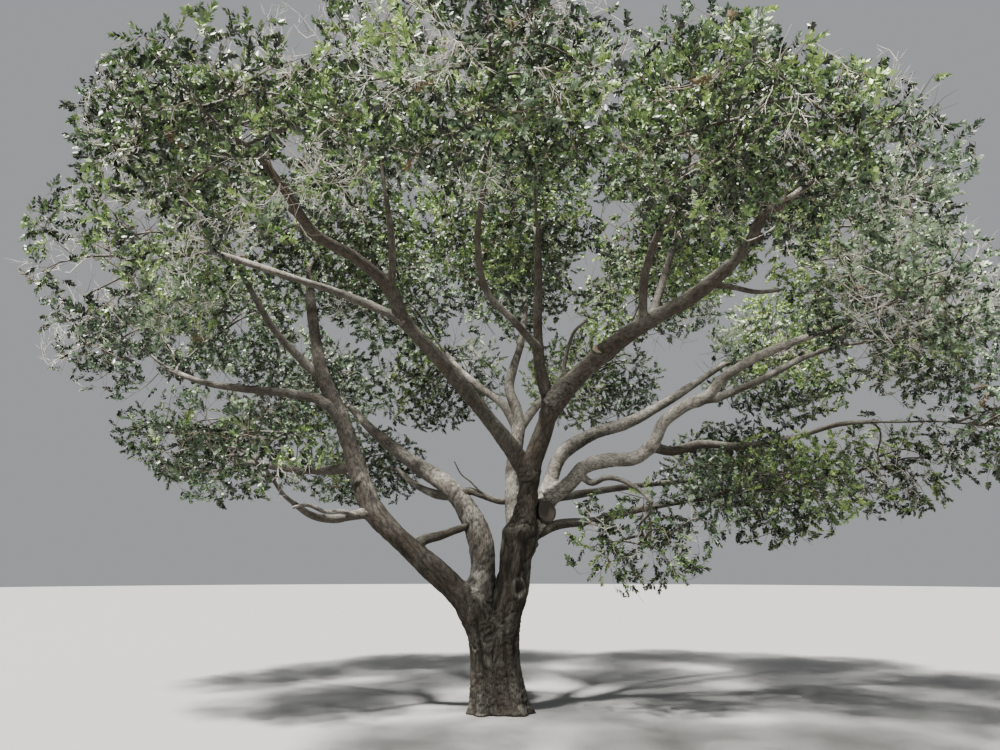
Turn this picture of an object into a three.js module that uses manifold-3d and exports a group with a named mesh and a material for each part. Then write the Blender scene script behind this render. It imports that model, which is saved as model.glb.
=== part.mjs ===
// A broad evergreen oak with a fused double trunk, drawn in millimetres.
// +Z is up, +X and +Y lie level, and the origin is the middle of the flat cut at the trunk's foot.
// The camera side of the tree is -Y. Trunk and boughs are tapering limbs, and each mass of leaves
// is a small seeded tree of its own, with every leaf standing for a spray of real ones.

import * as THREE from 'three';
import { mergeVertices } from 'three/addons/utils/BufferGeometryUtils.js';
import Module from 'manifold-3d';

const wasm = await Module();
wasm.setup();

// Driving dimensions
const GAP = 0.3;                 // clearance between two pieces that meet
const LIMB_SIDES = 8;
const LIMB_STEP = 1150;          // length of one straight facet along a limb
const COLLAR_SWELL = 0.28;       // how much a bough swells where it leaves its parent
const COLLAR_REACH = 2.2;        // length of that swelling, in foot radii
const LIMB_RIPPLE = 0.05;        // unevenness of a limb's thickness
const TRUNK_SIDES = 24;
const FLUTE_DEPTH = 0.055;       // ribs that run down the trunk
const FLARE_HEIGHT = 420;        // height over which the root flare dies out
const FLARE_SPREAD = 0.34;
const FLARE_BUTTRESSES = 5;
const LEFT_BUTTRESS = Math.PI / 2;   // turns the buttresses so that one points away from the other stem
const RIGHT_BUTTRESS = 0;
const TWIG_SIDES = 3;
const TWIG_COUNT = 6;
const TWIG_REACH = 0.62;         // how far twigs reach towards the edge of their space
const LEAF_COUNT = 15;
const LEAF_THICKNESS = 0.035;    // of the spray's length
const LEAF_WIDTH = 0.62;
const MASS_DETAIL = 3;           // creases smaller than this are smoothed away where leaves are fused
const STEM_TIP = 24;
const STEM_STEPS = 5;
const SINGLE_FOOT = 0.85;        // foot radius of a mass's stem, of its bough's tip
const SHARED_FOOT = 0.55;        // the same where two masses grow from one tip
const SHARED_SHIFT = 0.75;       // how far aside such a stem stands
const SPACE_MARGIN = 25;         // kept clear of the planes between two masses
const LIMB_MARGIN = 8;           // kept clear of limbs and of other masses' stems
const GOLDEN_ANGLE = Math.PI * (3 - Math.sqrt(5));

const BARK = { color: 0x7a6a5b, roughness: 0.92, metalness: 0 };
const LEAVES = { color: 0x4f6238, roughness: 0.62, metalness: 0 };

// The trunk is two stems grown together: height, centre x, centre y and radius of each ring
const LEFT_STEM = [
  [0, -320, 0, 365], [350, -340, 10, 325], [1300, -368, 35, 302], [1800, -440, 60, 330],
  [2250, -525, 85, 385], [2560, -560, 110, 330], [2700, -570, 120, 150],
];
const RIGHT_STEM = [
  [0, 300, 0, 365], [350, 238, -20, 325], [1300, 130, -45, 302], [2000, 160, -50, 342],
  [2600, 278, -45, 392], [3200, 360, -20, 372], [3550, 430, 0, 395], [3850, 500, 20, 410],
  [4080, 530, 30, 300], [4150, 540, 40, 130],
];

// Limbs in the order in which they grow: what each one stands on, its foot and tip radius, and
// the few places that it passes through. One that carries on its parent's line has no swelling.
// A stub is a pruned side limb on it: the share of the limb's length where it stands, its
// direction, length and radius.
const LIMBS = [
  { name: 'upper_trunk', on: 'trunk', foot: 225, tip: 215,
    way: [[520, 20, 3650], [650, -150, 4650], [720, -350, 5350], [1080, -600, 6400], [1240, -700, 6950]] },
  { name: 'left_bough_low', on: 'trunk', foot: 270, tip: 235,
    way: [[-560, 80, 2120], [-1150, -100, 2750], [-1950, -300, 3450], [-2450, -400, 3900],
      [-2950, -500, 4450], [-3230, -500, 5050]] },
  { name: 'left_bough_high', on: 'left_bough_low', foot: 232, tip: 85, swell: 0,
    way: [[-3215, -500, 5000], [-3500, -400, 5800], [-3900, -300, 6800], [-4350, -200, 7700],
      [-4650, 0, 8800], [-4850, 150, 9750], [-5000, 300, 10700]] },
  { name: 'left_side_bough', on: 'left_bough_low', foot: 120, tip: 60,
    way: [[-2850, -480, 4380], [-3400, -800, 4260], [-3700, -1000, 4180], [-4100, -1350, 4230],
      [-4400, -1800, 4450]] },
  { name: 'left_long_bough', on: 'left_bough_high', foot: 125, tip: 60,
    way: [[-3800, -320, 6600], [-4300, -500, 7000], [-5100, -350, 7200], [-6300, 0, 7400],
      [-7450, 400, 7650], [-8500, 700, 8050]] },
  { name: 'left_rear_bough', on: 'left_bough_high', foot: 125, tip: 60,
    way: [[-3350, -430, 5450], [-4250, 500, 5450], [-5500, 1250, 5600], [-7200, 2050, 5950]] },
  { name: 'left_inner_bough', on: 'left_bough_high', foot: 110, tip: 60,
    way: [[-4330, -200, 7600], [-4950, -150, 8150], [-5600, -350, 8850], [-6200, -900, 9900]] },
  { name: 'middle_bough', on: 'trunk', foot: 325, tip: 90,
    way: [[-470, 150, 2250], [-400, 400, 3050], [-480, 600, 3800], [-750, 900, 4400],
      [-1120, 1300, 4950], [-1650, 1800, 5400], [-2300, 2400, 5850], [-3700, 3700, 7000],
      [-4600, 4600, 7900]] },
  { name: 'rear_low_bough', on: 'middle_bough', foot: 130, tip: 60,
    way: [[-1120, 1300, 4900], [-1750, 2300, 5050], [-2450, 3600, 5450], [-3150, 5100, 6050]] },
  { name: 'front_left_bough', on: 'upper_trunk', foot: 205, tip: 70,
    way: [[700, -330, 5200], [200, -700, 5900], [-500, -1300, 6700], [-1350, -2000, 7600],
      [-2050, -2800, 8250], [-2300, -3300, 8750], [-2900, -4000, 9150], [-3600, -4600, 9400],
      [-3950, -5200, 9850], [-4350, -5800, 10350]],
    stubs: [{ at: 0.86, toward: [-0.8, -0.3, 0.5], length: 260, radius: 62 }] },
  { name: 'front_left_side_bough', on: 'front_left_bough', foot: 95, tip: 55,
    way: [[-2050, -2800, 8200], [-2650, -3050, 8450], [-3450, -3300, 8700], [-4100, -3600, 8830],
      [-5000, -3900, 9050], [-5900, -3900, 9350]] },
  { name: 'front_left_rising_bough', on: 'front_left_bough', foot: 85, tip: 50,
    way: [[-2280, -3250, 8700], [-2200, -3800, 9400], [-2300, -4200, 10400]] },
  { name: 'top_bough', on: 'upper_trunk', foot: 150, tip: 70,
    way: [[1200, -690, 6850], [960, -780, 7650], [900, -1000, 8600], [900, -1300, 9500],
      [900, -1800, 10800]] },
  { name: 'front_middle_bough', on: 'top_bough', foot: 90, tip: 55,
    way: [[910, -930, 8150], [350, -1700, 8550], [-280, -2600, 8950], [-450, -4000, 9500],
      [-300, -5400, 10000]] },
  { name: 'right_high_bough', on: 'upper_trunk', foot: 235, tip: 85,
    way: [[1200, -660, 6850], [1700, -1000, 7350], [2400, -1600, 7900], [3200, -2300, 8350],
      [4050, -3000, 8680], [4650, -3600, 9080], [5000, -4100, 9450], [5150, -4550, 9780],
      [5500, -4900, 9950]],
    stubs: [
      { at: 0.235, toward: [-0.1, -0.85, 0.5], length: 260, radius: 125 },
      { at: 0.8, toward: [0.75, -0.1, 0.65], length: 560, radius: 85 },
    ] },
  { name: 'right_front_bough', on: 'right_high_bough', foot: 100, tip: 55,
    way: [[3150, -2250, 8320], [3050, -3200, 9050], [3150, -4200, 9550], [3500, -5200, 9950]] },
  { name: 'right_rising_bough', on: 'right_high_bough', foot: 110, tip: 60,
    way: [[3300, -2350, 8380], [3650, -2150, 9300], [4000, -2300, 10400]] },
  { name: 'rear_stem', on: 'trunk', foot: 195, tip: 75,
    way: [[420, 180, 3650], [300, 520, 4750], [300, 800, 5500], [450, 1100, 6300],
      [450, 1400, 7100], [250, 1700, 7800], [380, 2250, 8550], [600, 2850, 9400],
      [800, 3900, 11000]] },
  { name: 'rear_left_bough', on: 'rear_stem', foot: 125, tip: 60,
    way: [[480, 1280, 6600], [100, 1700, 7350], [-450, 2500, 7950], [-1150, 3600, 8800],
      [-1750, 5000, 9800]] },
  { name: 'rear_right_bough', on: 'rear_stem', foot: 125, tip: 60,
    way: [[430, 1200, 6500], [950, 1750, 7300], [1700, 2650, 8150], [2800, 3800, 9000],
      [3800, 5100, 9850]] },
  { name: 'right_rear_bough', on: 'trunk', foot: 215, tip: 75,
    way: [[600, 80, 3700], [1000, 250, 4400], [1240, 500, 5200], [1560, 800, 5900],
      [2350, 1200, 6450], [3350, 1700, 6850], [4150, 2200, 7300], [5150, 2800, 7950],
      [6800, 3800, 9100]],
    stubs: [{ at: 0.085, toward: [0.28, -0.93, 0.1], length: 420, radius: 230 }] },
  { name: 'right_bough', on: 'right_rear_bough', foot: 190, tip: 80,
    way: [[1130, 340, 4750], [1700, 230, 5120], [2050, 200, 5500], [2650, 100, 5650],
      [3250, 0, 5680], [3680, -100, 6020], [3950, -200, 6530], [4450, -300, 6900],
      [5000, -400, 7130], [5350, -500, 7530], [6050, -800, 7950], [6850, -1100, 8250],
      [7500, -1500, 8400]] },
  { name: 'right_long_bough', on: 'right_bough', foot: 110, tip: 60,
    way: [[4750, -350, 7030], [5500, 150, 7250], [6800, 600, 7850], [8050, 950, 8500],
      [9200, 1100, 8900]] },
  { name: 'right_drooping_bough', on: 'right_bough', foot: 120, tip: 50,
    way: [[3620, -90, 5960], [4200, 200, 5880], [4950, 500, 6100], [6100, 900, 6120],
      [7550, 1300, 6380], [8900, 1450, 6780], [9900, 1350, 6850]] },
  { name: 'right_small_bough', on: 'right_bough', foot: 80, tip: 40,
    way: [[1950, 200, 5300], [2180, -200, 5070], [2450, -500, 5150], [2750, -900, 5060],
      [3100, -1300, 4780], [3300, -1550, 4500]] },
  { name: 'right_low_bough', on: 'trunk', foot: 130, tip: 60,
    way: [[620, 60, 3750], [1350, 350, 4120], [2300, 600, 4230], [3300, 850, 4500],
      [4700, 1050, 4750]] },
  { name: 'right_low_rear_bough', on: 'right_rear_bough', foot: 120, tip: 60,
    way: [[1100, 420, 4750], [1900, 1600, 4950], [3400, 3100, 5300], [5600, 4500, 5650]] },
];

// Masses of leaves: the limb whose tip each one grows from, the middle of its space, and the
// half widths of that space across, in depth and in height
const MASSES = [
  { name: 'leaves_left_tip', on: 'left_long_bough', centre: [-9900, 900, 8900], half: [2050, 2100, 1700] },
  { name: 'leaves_left_rear', on: 'left_long_bough', centre: [-8200, 3300, 10100], half: [2600, 2600, 2200] },
  { name: 'leaves_left_front', on: 'front_left_side_bough', centre: [-7900, -2700, 9600], half: [2500, 2500, 2100] },
  { name: 'leaves_left_upper', on: 'left_inner_bough', centre: [-7200, -2700, 12400], half: [2700, 2600, 2100] },
  { name: 'leaves_left_high', on: 'left_bough_high', centre: [-4600, 1200, 12100], half: [2900, 2800, 2600] },
  { name: 'leaves_left_low_rear', on: 'left_rear_bough', centre: [-8600, 3000, 6800], half: [2300, 2300, 1500] },
  { name: 'leaves_left_low', on: 'left_side_bough', centre: [-5600, -2300, 5600], half: [2000, 1800, 1400] },
  { name: 'leaves_near_left', on: 'front_left_bough', centre: [-4300, -7000, 9900], half: [2600, 2400, 2000] },
  { name: 'leaves_front_left_top', on: 'front_left_rising_bough', centre: [-2700, -4400, 12700], half: [2700, 2600, 2100] },
  { name: 'leaves_near_middle', on: 'front_middle_bough', centre: [-100, -7200, 10700], half: [2600, 2400, 2000] },
  { name: 'leaves_near_right', on: 'right_front_bough', centre: [3900, -6900, 10000], half: [2600, 2400, 2000] },
  { name: 'leaves_right_front', on: 'right_high_bough', centre: [6500, -5200, 10600], half: [2400, 2400, 2000] },
  { name: 'leaves_right_middle', on: 'right_bough', centre: [8500, -3100, 8600], half: [2300, 2200, 1800] },
  { name: 'leaves_right_front_top', on: 'right_rising_bough', centre: [4300, -3700, 12700], half: [2700, 2600, 2100] },
  { name: 'leaves_front_top', on: 'top_bough', centre: [700, -3600, 13000], half: [2600, 2600, 1900] },
  { name: 'leaves_top', on: 'top_bough', centre: [200, 600, 12400], half: [2800, 2700, 2450] },
  { name: 'leaves_top_right', on: 'right_rising_bough', centre: [4900, 300, 12200], half: [2800, 2600, 2500] },
  { name: 'leaves_right_upper', on: 'right_long_bough', centre: [8800, -800, 11100], half: [2600, 2600, 2100] },
  { name: 'leaves_right_tip', on: 'right_long_bough', centre: [11200, 900, 9000], half: [2350, 2500, 1900] },
  { name: 'leaves_right_droop', on: 'right_drooping_bough', centre: [10500, 2500, 5800], half: [2200, 2000, 1600] },
  { name: 'leaves_right_end_low', on: 'right_drooping_bough', centre: [11800, -500, 6400], half: [1700, 1900, 1600] },
  { name: 'leaves_right_low', on: 'right_low_bough', centre: [6600, 400, 5000], half: [2450, 1900, 1550] },
  { name: 'leaves_right_hanging', on: 'right_small_bough', centre: [3150, -1000, 3850], half: [1950, 1300, 1500] },
  { name: 'leaves_right_rear', on: 'right_rear_bough', centre: [8700, 4500, 9400], half: [2700, 2700, 2300] },
  { name: 'leaves_right_low_rear', on: 'right_low_rear_bough', centre: [7500, 5700, 6300], half: [2600, 2500, 1600] },
  { name: 'leaves_rear_right_top', on: 'rear_right_bough', centre: [4900, 4900, 12000], half: [2800, 2600, 2400] },
  { name: 'leaves_rear_right', on: 'rear_right_bough', centre: [3200, 7300, 9600], half: [2700, 2300, 2100] },
  { name: 'leaves_rear_top', on: 'rear_stem', centre: [500, 4900, 12300], half: [2700, 2500, 2400] },
  { name: 'leaves_rear_left_top', on: 'rear_left_bough', centre: [-3400, 5100, 12000], half: [2700, 2500, 2400] },
  { name: 'leaves_rear_left', on: 'rear_left_bough', centre: [-2200, 7300, 9600], half: [2700, 2300, 2100] },
  { name: 'leaves_far_left', on: 'middle_bough', centre: [-6000, 6000, 8900], half: [2600, 2600, 2100] },
  { name: 'leaves_rear_low', on: 'rear_low_bough', centre: [-4700, 6700, 6400], half: [2600, 2300, 1500] },
];
const CROWN_HEART = new THREE.Vector3(500, 0, 6500);

// Repeatable random numbers from 0 to 1
function seeded(seed) {
  let state = seed >>> 0;
  return () => {
    state = (state + 0x6d2b79f5) >>> 0;
    let mix = Math.imul(state ^ (state >>> 15), state | 1);
    mix ^= mix + Math.imul(mix ^ (mix >>> 7), mix | 61);
    return ((mix ^ (mix >>> 14)) >>> 0) / 4294967296;
  };
}

const vector = ([x, y, z]) => new THREE.Vector3(x, y, z);

// A closed three.js geometry as a solid
function solidOf(geometry) {
  const bare = geometry.clone();
  bare.deleteAttribute('normal');
  bare.deleteAttribute('uv');
  const merged = mergeVertices(bare, 1e-3);
  return new wasm.Manifold(new wasm.Mesh({
    numProp: 3,
    vertProperties: new Float32Array(merged.attributes.position.array),
    triVerts: new Uint32Array(merged.index.array),
  }));
}

// A solid as a three.js geometry
function geometryOf(solid) {
  const mesh = solid.getMesh();
  const geometry = new THREE.BufferGeometry();
  geometry.setAttribute('position', new THREE.BufferAttribute(mesh.vertProperties, mesh.numProp));
  geometry.setIndex(new THREE.BufferAttribute(mesh.triVerts, 1));
  geometry.computeVertexNormals();
  return geometry;
}

// Only the largest body of a solid: scraps are dropped and sealed hollows filled
function largestBody(solid) {
  return solid.decompose().reduce((best, body) => (body.volume() > best.volume() ? body : best));
}

// A cylinder of unit size bent along a curve, with its radius given by the share of the way.
// Extra makes it thicker and longer at both ends by that much.
function sweptTube(curve, sides, steps, extra, radiusAt) {
  const geometry = new THREE.CylinderGeometry(1, 1, 1, sides, steps);
  const frames = curve.computeFrenetFrames(steps, false);
  const position = geometry.attributes.position;
  for (let i = 0; i < position.count; i += 1) {
    const share = position.getY(i) + 0.5;
    const ring = Math.round(share * steps);
    const radius = radiusAt(share, Math.atan2(position.getZ(i), position.getX(i))) + extra;
    const beyond = ring === 0 ? -extra : ring === steps ? extra : 0;
    const place = curve.getPointAt(share)
      .addScaledVector(frames.tangents[ring], beyond)
      .addScaledVector(frames.normals[ring], position.getX(i) * radius)
      .addScaledVector(frames.binormals[ring], -position.getZ(i) * radius);
    position.setXYZ(i, place.x, place.y, place.z);
  }
  return geometry;
}

// One of the trunk's two stems, with ribs all the way up and buttresses at its foot
function stemGeometry(rings, buttress, extra) {
  const geometry = new THREE.CylinderGeometry(1, 1, rings.length - 1, TRUNK_SIDES, rings.length - 1);
  const position = geometry.attributes.position;
  for (let i = 0; i < position.count; i += 1) {
    const [height, x, y, radius] = rings[Math.round(position.getY(i) + (rings.length - 1) / 2)];
    const angle = Math.atan2(position.getZ(i), position.getX(i));
    const fall = Math.exp(-height / FLARE_HEIGHT);
    const ribs = 1 + FLUTE_DEPTH * Math.cos(7 * angle + height / 900);
    const lobe = Math.cos(FLARE_BUTTRESSES * angle / 2 + buttress) ** 2;
    const flare = 1 + fall * FLARE_SPREAD * (0.35 + 0.65 * lobe);
    const reach = radius * ribs * flare + extra;
    const beyond = height === rings.at(-1)[0] ? extra : 0;
    position.setXYZ(i, x + position.getX(i) * reach, y - position.getZ(i) * reach, height + beyond);
  }
  return geometry;
}

function trunkSolid(extra) {
  const left = solidOf(stemGeometry(LEFT_STEM, LEFT_BUTTRESS, extra));
  return left.add(solidOf(stemGeometry(RIGHT_STEM, RIGHT_BUTTRESS, extra)));
}

function limbCurve(limb) {
  return new THREE.CatmullRomCurve3(limb.way.map(vector), false, 'centripetal');
}

function limbRadius(limb, length, share) {
  const taper = limb.tip + (limb.foot - limb.tip) * (1 - share) ** 0.85;
  const swell = limb.swell ?? COLLAR_SWELL;
  const collar = 1 + swell * Math.exp(-share * length / (COLLAR_REACH * limb.foot));
  return taper * collar;
}

// A pruned side limb: a short thick peg with a flat cut end
function stubSolid(stub, curve, extra) {
  const toward = vector(stub.toward).normalize();
  const geometry = new THREE.CylinderGeometry(
    stub.radius + extra, stub.radius * 1.25 + extra, stub.length + 2 * extra, LIMB_SIDES);
  geometry.applyQuaternion(new THREE.Quaternion().setFromUnitVectors(new THREE.Vector3(0, 1, 0), toward));
  const middle = curve.getPointAt(stub.at).addScaledVector(toward, stub.length / 2);
  geometry.translate(middle.x, middle.y, middle.z);
  return solidOf(geometry);
}

function limbSolid(limb, extra) {
  const curve = limbCurve(limb);
  const length = curve.getLength();
  const steps = Math.max(3, Math.round(length / LIMB_STEP));
  const tube = sweptTube(curve, LIMB_SIDES, steps, extra, (share, angle) => {
    const ripple = 1 + LIMB_RIPPLE * Math.sin(2 * angle + share * length / 350);
    return limbRadius(limb, length, share) * ripple;
  });
  return (limb.stubs ?? []).reduce((solid, stub) => solid.add(stubSolid(stub, curve, extra)), solidOf(tube));
}

function boxesMeet(a, b) {
  const [p, q] = [a.boundingBox(), b.boundingBox()];
  return [0, 1, 2].every((axis) => p.min[axis] - 50 < q.max[axis] && q.min[axis] - 50 < p.max[axis]);
}

// Every limb stands on its parent: its foot is cut by the parent made thicker by the gap
function growLimbs() {
  const grown = [{ name: 'trunk', solid: trunkSolid(0), fatter: trunkSolid(GAP) }];
  for (const limb of LIMBS) {
    const fatter = limbSolid(limb, GAP);
    const cutters = grown.filter((other) => boxesMeet(other.fatter, fatter));
    const parent = cutters.find((other) => other.name === limb.on);
    if (!parent) throw new Error(`${limb.name} doesn't reach ${limb.on}`);
    const solid = cutters.reduce((left, other) => left.subtract(other.fatter), limbSolid(limb, 0));
    grown.push({ name: limb.name, solid: largestBody(solid), fatter });
  }
  return grown;
}

// The space of a mass: an ellipsoid, less what lies nearer to another mass
function spaceOf(mass, others) {
  const centre = vector(mass.centre);
  const size = (mass.half[0] + mass.half[1] + mass.half[2]) / 3;
  const walls = others.filter((other) => other !== mass).map((other) => {
    const away = vector(other.centre).sub(centre);
    const distance = away.length();
    const otherSize = (other.half[0] + other.half[1] + other.half[2]) / 3;
    const reach = (distance ** 2 + size ** 2 - otherSize ** 2) / (2 * distance) - SPACE_MARGIN;
    return { away: away.divideScalar(distance), reach };
  });
  const holds = (point) => {
    const offset = point.clone().sub(centre);
    const [a, b, c] = mass.half;
    if ((offset.x / a) ** 2 + (offset.y / b) ** 2 + (offset.z / c) ** 2 > 1) return false;
    return walls.every((wall) => offset.dot(wall.away) < wall.reach);
  };
  return { centre, size, holds };
}

// A leaf spray: a thin blade of eight faces, pointed at its root and tip
function leafGeometry(root, toward, flat, length) {
  const geometry = new THREE.OctahedronGeometry(1, 0);
  const side = new THREE.Vector3().crossVectors(flat, toward).normalize();
  const face = new THREE.Vector3().crossVectors(toward, side);
  const basis = new THREE.Matrix4().makeBasis(
    side.multiplyScalar(length * LEAF_WIDTH / 2),
    face.multiplyScalar(length * LEAF_THICKNESS / 2),
    toward.clone().multiplyScalar(length / 2));
  geometry.applyMatrix4(basis);
  const middle = root.clone().addScaledVector(toward, length / 2);
  geometry.translate(middle.x, middle.y, middle.z);
  return geometry;
}

function twigGeometry(from, to, foot, tip) {
  const along = to.clone().sub(from);
  const geometry = new THREE.CylinderGeometry(tip, foot, along.length(), TWIG_SIDES);
  const upright = new THREE.Vector3(0, 1, 0);
  geometry.applyQuaternion(new THREE.Quaternion().setFromUnitVectors(upright, along.clone().normalize()));
  const middle = from.clone().add(to).multiplyScalar(0.5);
  geometry.translate(middle.x, middle.y, middle.z);
  return geometry;
}

function corners(geometry) {
  const position = geometry.attributes.position;
  return Array.from({ length: position.count }, (_, i) => new THREE.Vector3().fromBufferAttribute(position, i));
}

// The one stem of a mass: from its bough's tip through the middle of the space and on outwards.
// Where two masses grow from one tip, each stem is thinner and leaves on its own side of it.
function massStem(mass, limb) {
  const shared = MASSES.filter((other) => other.on === mass.on).length > 1;
  const tip = vector(limb.way.at(-1));
  const back = vector(limb.way.at(-2)).sub(tip).normalize();
  const centre = vector(mass.centre);
  const side = centre.clone().sub(tip);
  side.addScaledVector(back, -side.dot(back)).setLength(shared ? limb.tip * SHARED_SHIFT : 0);
  const inside = tip.clone().addScaledVector(back, limb.tip * 0.8).add(side);
  const start = tip.clone().add(side).lerp(centre, 0.12);
  const outward = centre.clone().sub(CROWN_HEART).normalize();
  const end = centre.clone().addScaledVector(outward, 0.45 * Math.min(...mass.half));
  const curve = new THREE.CatmullRomCurve3([inside, start, centre, end], false, 'centripetal');
  const foot = limb.tip * (shared ? SHARED_FOOT : SINGLE_FOOT);
  const tube = (extra) => solidOf(sweptTube(curve, TWIG_SIDES, STEM_STEPS, extra,
    (share) => foot + (STEM_TIP - foot) * share));
  return { curve, on: mass.on, whole: tube(0), fatter: tube(GAP) };
}

// Twigs and leaves on the stem, each kept only where it stays in the space, touches no limb and
// meets nothing of its own mass but the wood that it grows from
function growMass(mass, seed, stem, space, nearby) {
  const random = seeded(seed);
  const wood = [stem.solid];
  const leaves = [];
  const clearOf = (piece, others, margin) => others.every(
    (other) => !boxesMeet(piece, other) || piece.minGap(other, margin) >= margin);
  const fits = (geometry, host) => {
    if (!corners(geometry).every(space.holds)) return null;
    const piece = solidOf(geometry);
    const own = [...wood, ...leaves].filter((other) => other !== host);
    return clearOf(piece, nearby, LIMB_MARGIN) && clearOf(piece, own, 1) ? piece : null;
  };
  const half = vector(mass.half);
  const leafSpots = [];
  for (let i = 0; i < TWIG_COUNT; i += 1) {
    const from = stem.curve.getPointAt(0.5 + 0.48 * (i + 0.5) / TWIG_COUNT);
    const turn = i * GOLDEN_ANGLE + random() * 0.6;
    const lift = 0.75 - 1.5 * ((i * 0.618 + 0.2) % 1);
    const level = Math.sqrt(1 - lift * lift);
    const unit = new THREE.Vector3(level * Math.cos(turn), level * Math.sin(turn), lift);
    let to = space.centre.clone().add(unit.clone().multiply(half).multiplyScalar(TWIG_REACH));
    for (let tries = 0; tries < 4 && !space.holds(to); tries += 1) to = from.clone().lerp(to, 0.75);
    const twig = fits(twigGeometry(from, to, 26, 14), stem.solid);
    if (!twig) continue;
    wood.push(twig);
    for (const spot of [0.985, 0.78, 0.58, 0.4]) {
      leafSpots.push({ root: from.clone().lerp(to, spot), unit, spot, host: twig });
    }
  }
  for (const share of [0.985, 0.87, 0.74, 0.6]) {
    const root = stem.curve.getPointAt(share);
    const unit = root.clone().sub(CROWN_HEART).normalize();
    leafSpots.push({ root, unit, spot: share, host: stem.solid });
  }
  for (let round = 0; round < 3; round += 1) {
    for (const { root, unit, spot, host } of leafSpots) {
      if (leaves.length >= LEAF_COUNT) break;
      const stray = new THREE.Vector3(random() - 0.5, random() - 0.5, random() - 0.5)
        .multiplyScalar(round === 0 && spot > 0.9 ? 0.5 : 2.4);
      const toward = unit.clone().add(stray).normalize();
      const flat = new THREE.Vector3(random() - 0.5, random() - 0.5, random() + 0.3).normalize();
      for (let length = space.size * (0.8 + 0.2 * random()); length > space.size * 0.3; length *= 0.88) {
        const leaf = fits(leafGeometry(root, toward, flat, length), host);
        if (!leaf) continue;
        leaves.push(leaf);
        break;
      }
    }
  }
  const fused = wasm.Manifold.union([...wood, ...leaves]).asOriginal().simplify(MASS_DETAIL);
  return largestBody(stem.cutters.reduce((left, other) => left.subtract(other.fatter), fused));
}

function growMasses(limbs) {
  const stems = [];
  for (const mass of MASSES) {
    const stem = massStem(mass, LIMBS.find((limb) => limb.name === mass.on));
    const siblings = stems.filter((other) => other.on === mass.on);
    stem.cutters = [...limbs.filter((limb) => boxesMeet(limb.fatter, stem.whole)), ...siblings];
    stem.solid = largestBody(stem.cutters.reduce((left, other) => left.subtract(other.fatter), stem.whole));
    stems.push(stem);
  }
  return MASSES.map((mass, index) => {
    const strangers = stems.filter((_, other) => other !== index).map((stem) => stem.solid);
    const nearby = [...limbs.map((limb) => limb.solid), ...strangers];
    const solid = growMass(mass, 1000 + index * 17, stems[index], spaceOf(mass, MASSES), nearby);
    return { name: mass.name, solid };
  });
}

function namedMesh(name, solid, finish) {
  const mesh = new THREE.Mesh(geometryOf(solid), new THREE.MeshStandardMaterial(finish));
  mesh.name = name;
  return mesh;
}

const limbs = growLimbs();
const masses = growMasses(limbs);

const tree = new THREE.Group();
for (const { name, solid } of limbs) tree.add(namedMesh(name, solid, BARK));
for (const { name, solid } of masses) tree.add(namedMesh(name, solid, LEAVES));

export default tree;
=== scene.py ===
"""A broad evergreen oak: bark with relief on the trunk and boughs, and twigs and leaves in every mass.

Run as a script, it dresses the tree with its own operators and stands it in a plain studio.
Lengths are in metres with +Z up, and the origin is the middle of the cut under the trunk.
"""

import math
from functools import lru_cache

import bpy
import numpy as np
from bpy.props import FloatProperty, FloatVectorProperty, IntProperty, PointerProperty
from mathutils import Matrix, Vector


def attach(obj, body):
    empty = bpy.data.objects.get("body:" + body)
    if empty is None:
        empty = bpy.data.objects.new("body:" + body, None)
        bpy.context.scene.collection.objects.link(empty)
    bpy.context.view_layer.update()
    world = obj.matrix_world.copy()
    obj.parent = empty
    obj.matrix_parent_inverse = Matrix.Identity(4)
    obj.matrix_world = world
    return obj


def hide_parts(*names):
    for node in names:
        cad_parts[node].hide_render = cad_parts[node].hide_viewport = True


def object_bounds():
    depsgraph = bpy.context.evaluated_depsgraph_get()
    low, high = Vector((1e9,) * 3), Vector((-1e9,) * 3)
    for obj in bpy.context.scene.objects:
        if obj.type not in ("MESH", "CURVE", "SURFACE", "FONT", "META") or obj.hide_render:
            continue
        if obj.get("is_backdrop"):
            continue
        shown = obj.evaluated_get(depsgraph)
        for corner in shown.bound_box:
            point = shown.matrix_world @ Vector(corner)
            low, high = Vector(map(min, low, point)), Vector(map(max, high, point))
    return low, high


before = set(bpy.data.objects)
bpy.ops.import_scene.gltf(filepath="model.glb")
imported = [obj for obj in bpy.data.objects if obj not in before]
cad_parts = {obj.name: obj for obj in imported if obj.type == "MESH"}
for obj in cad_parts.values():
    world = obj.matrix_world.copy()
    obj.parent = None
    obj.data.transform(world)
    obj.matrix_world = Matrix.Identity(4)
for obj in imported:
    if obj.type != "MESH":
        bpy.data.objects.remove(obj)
CAD_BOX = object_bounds()

bl_info = {
    "name": "Evergreen oak",
    "version": (1, 0, 0),
    "blender": (4, 5, 0),
    "location": "3D View > Sidebar > Oak",
    "description": "Bark, twigs and leaves for a broad evergreen oak",
    "category": "Add Mesh",
}

BODY = "root"
GOLDEN_ANGLE = math.pi * (3 - math.sqrt(5))
GOLDEN_SHARE = 0.618
UP = np.array([0.0, 0.0, 1.0])

# Random numbers: what a word of 32 bits holds, and the odd numbers that stir it
WORD = 0xFFFFFFFF
HALF_WORD = 0xFFFF
SEED_STEP = 0x6D2B79F5
CELL_PRIMES = (73856093, 19349663, 83492791)
SEED_PRIME = 2654435761
STIR_PRIME = 1274126177

# The seed of each pattern, so that no two agree
WARP_SEEDS = (3, 4, 5)
PLATE_SEED = 11
SIDE_PLATE_SEED = 12
LUMP_SEEDS = (13, 14)
GRIT_SEED = 15
WEATHER_SEEDS = (31, 32)
DEAD_SEED = 41
SIGHT_SEED = 43
LUSH_SEED = 46
GROOVE_SEED = 51
SPRAY_SEED = 500
BARE_SPRIG_SEED = 900
MASS_SEED = 1000
MASS_SEED_STEP = 17

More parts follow.
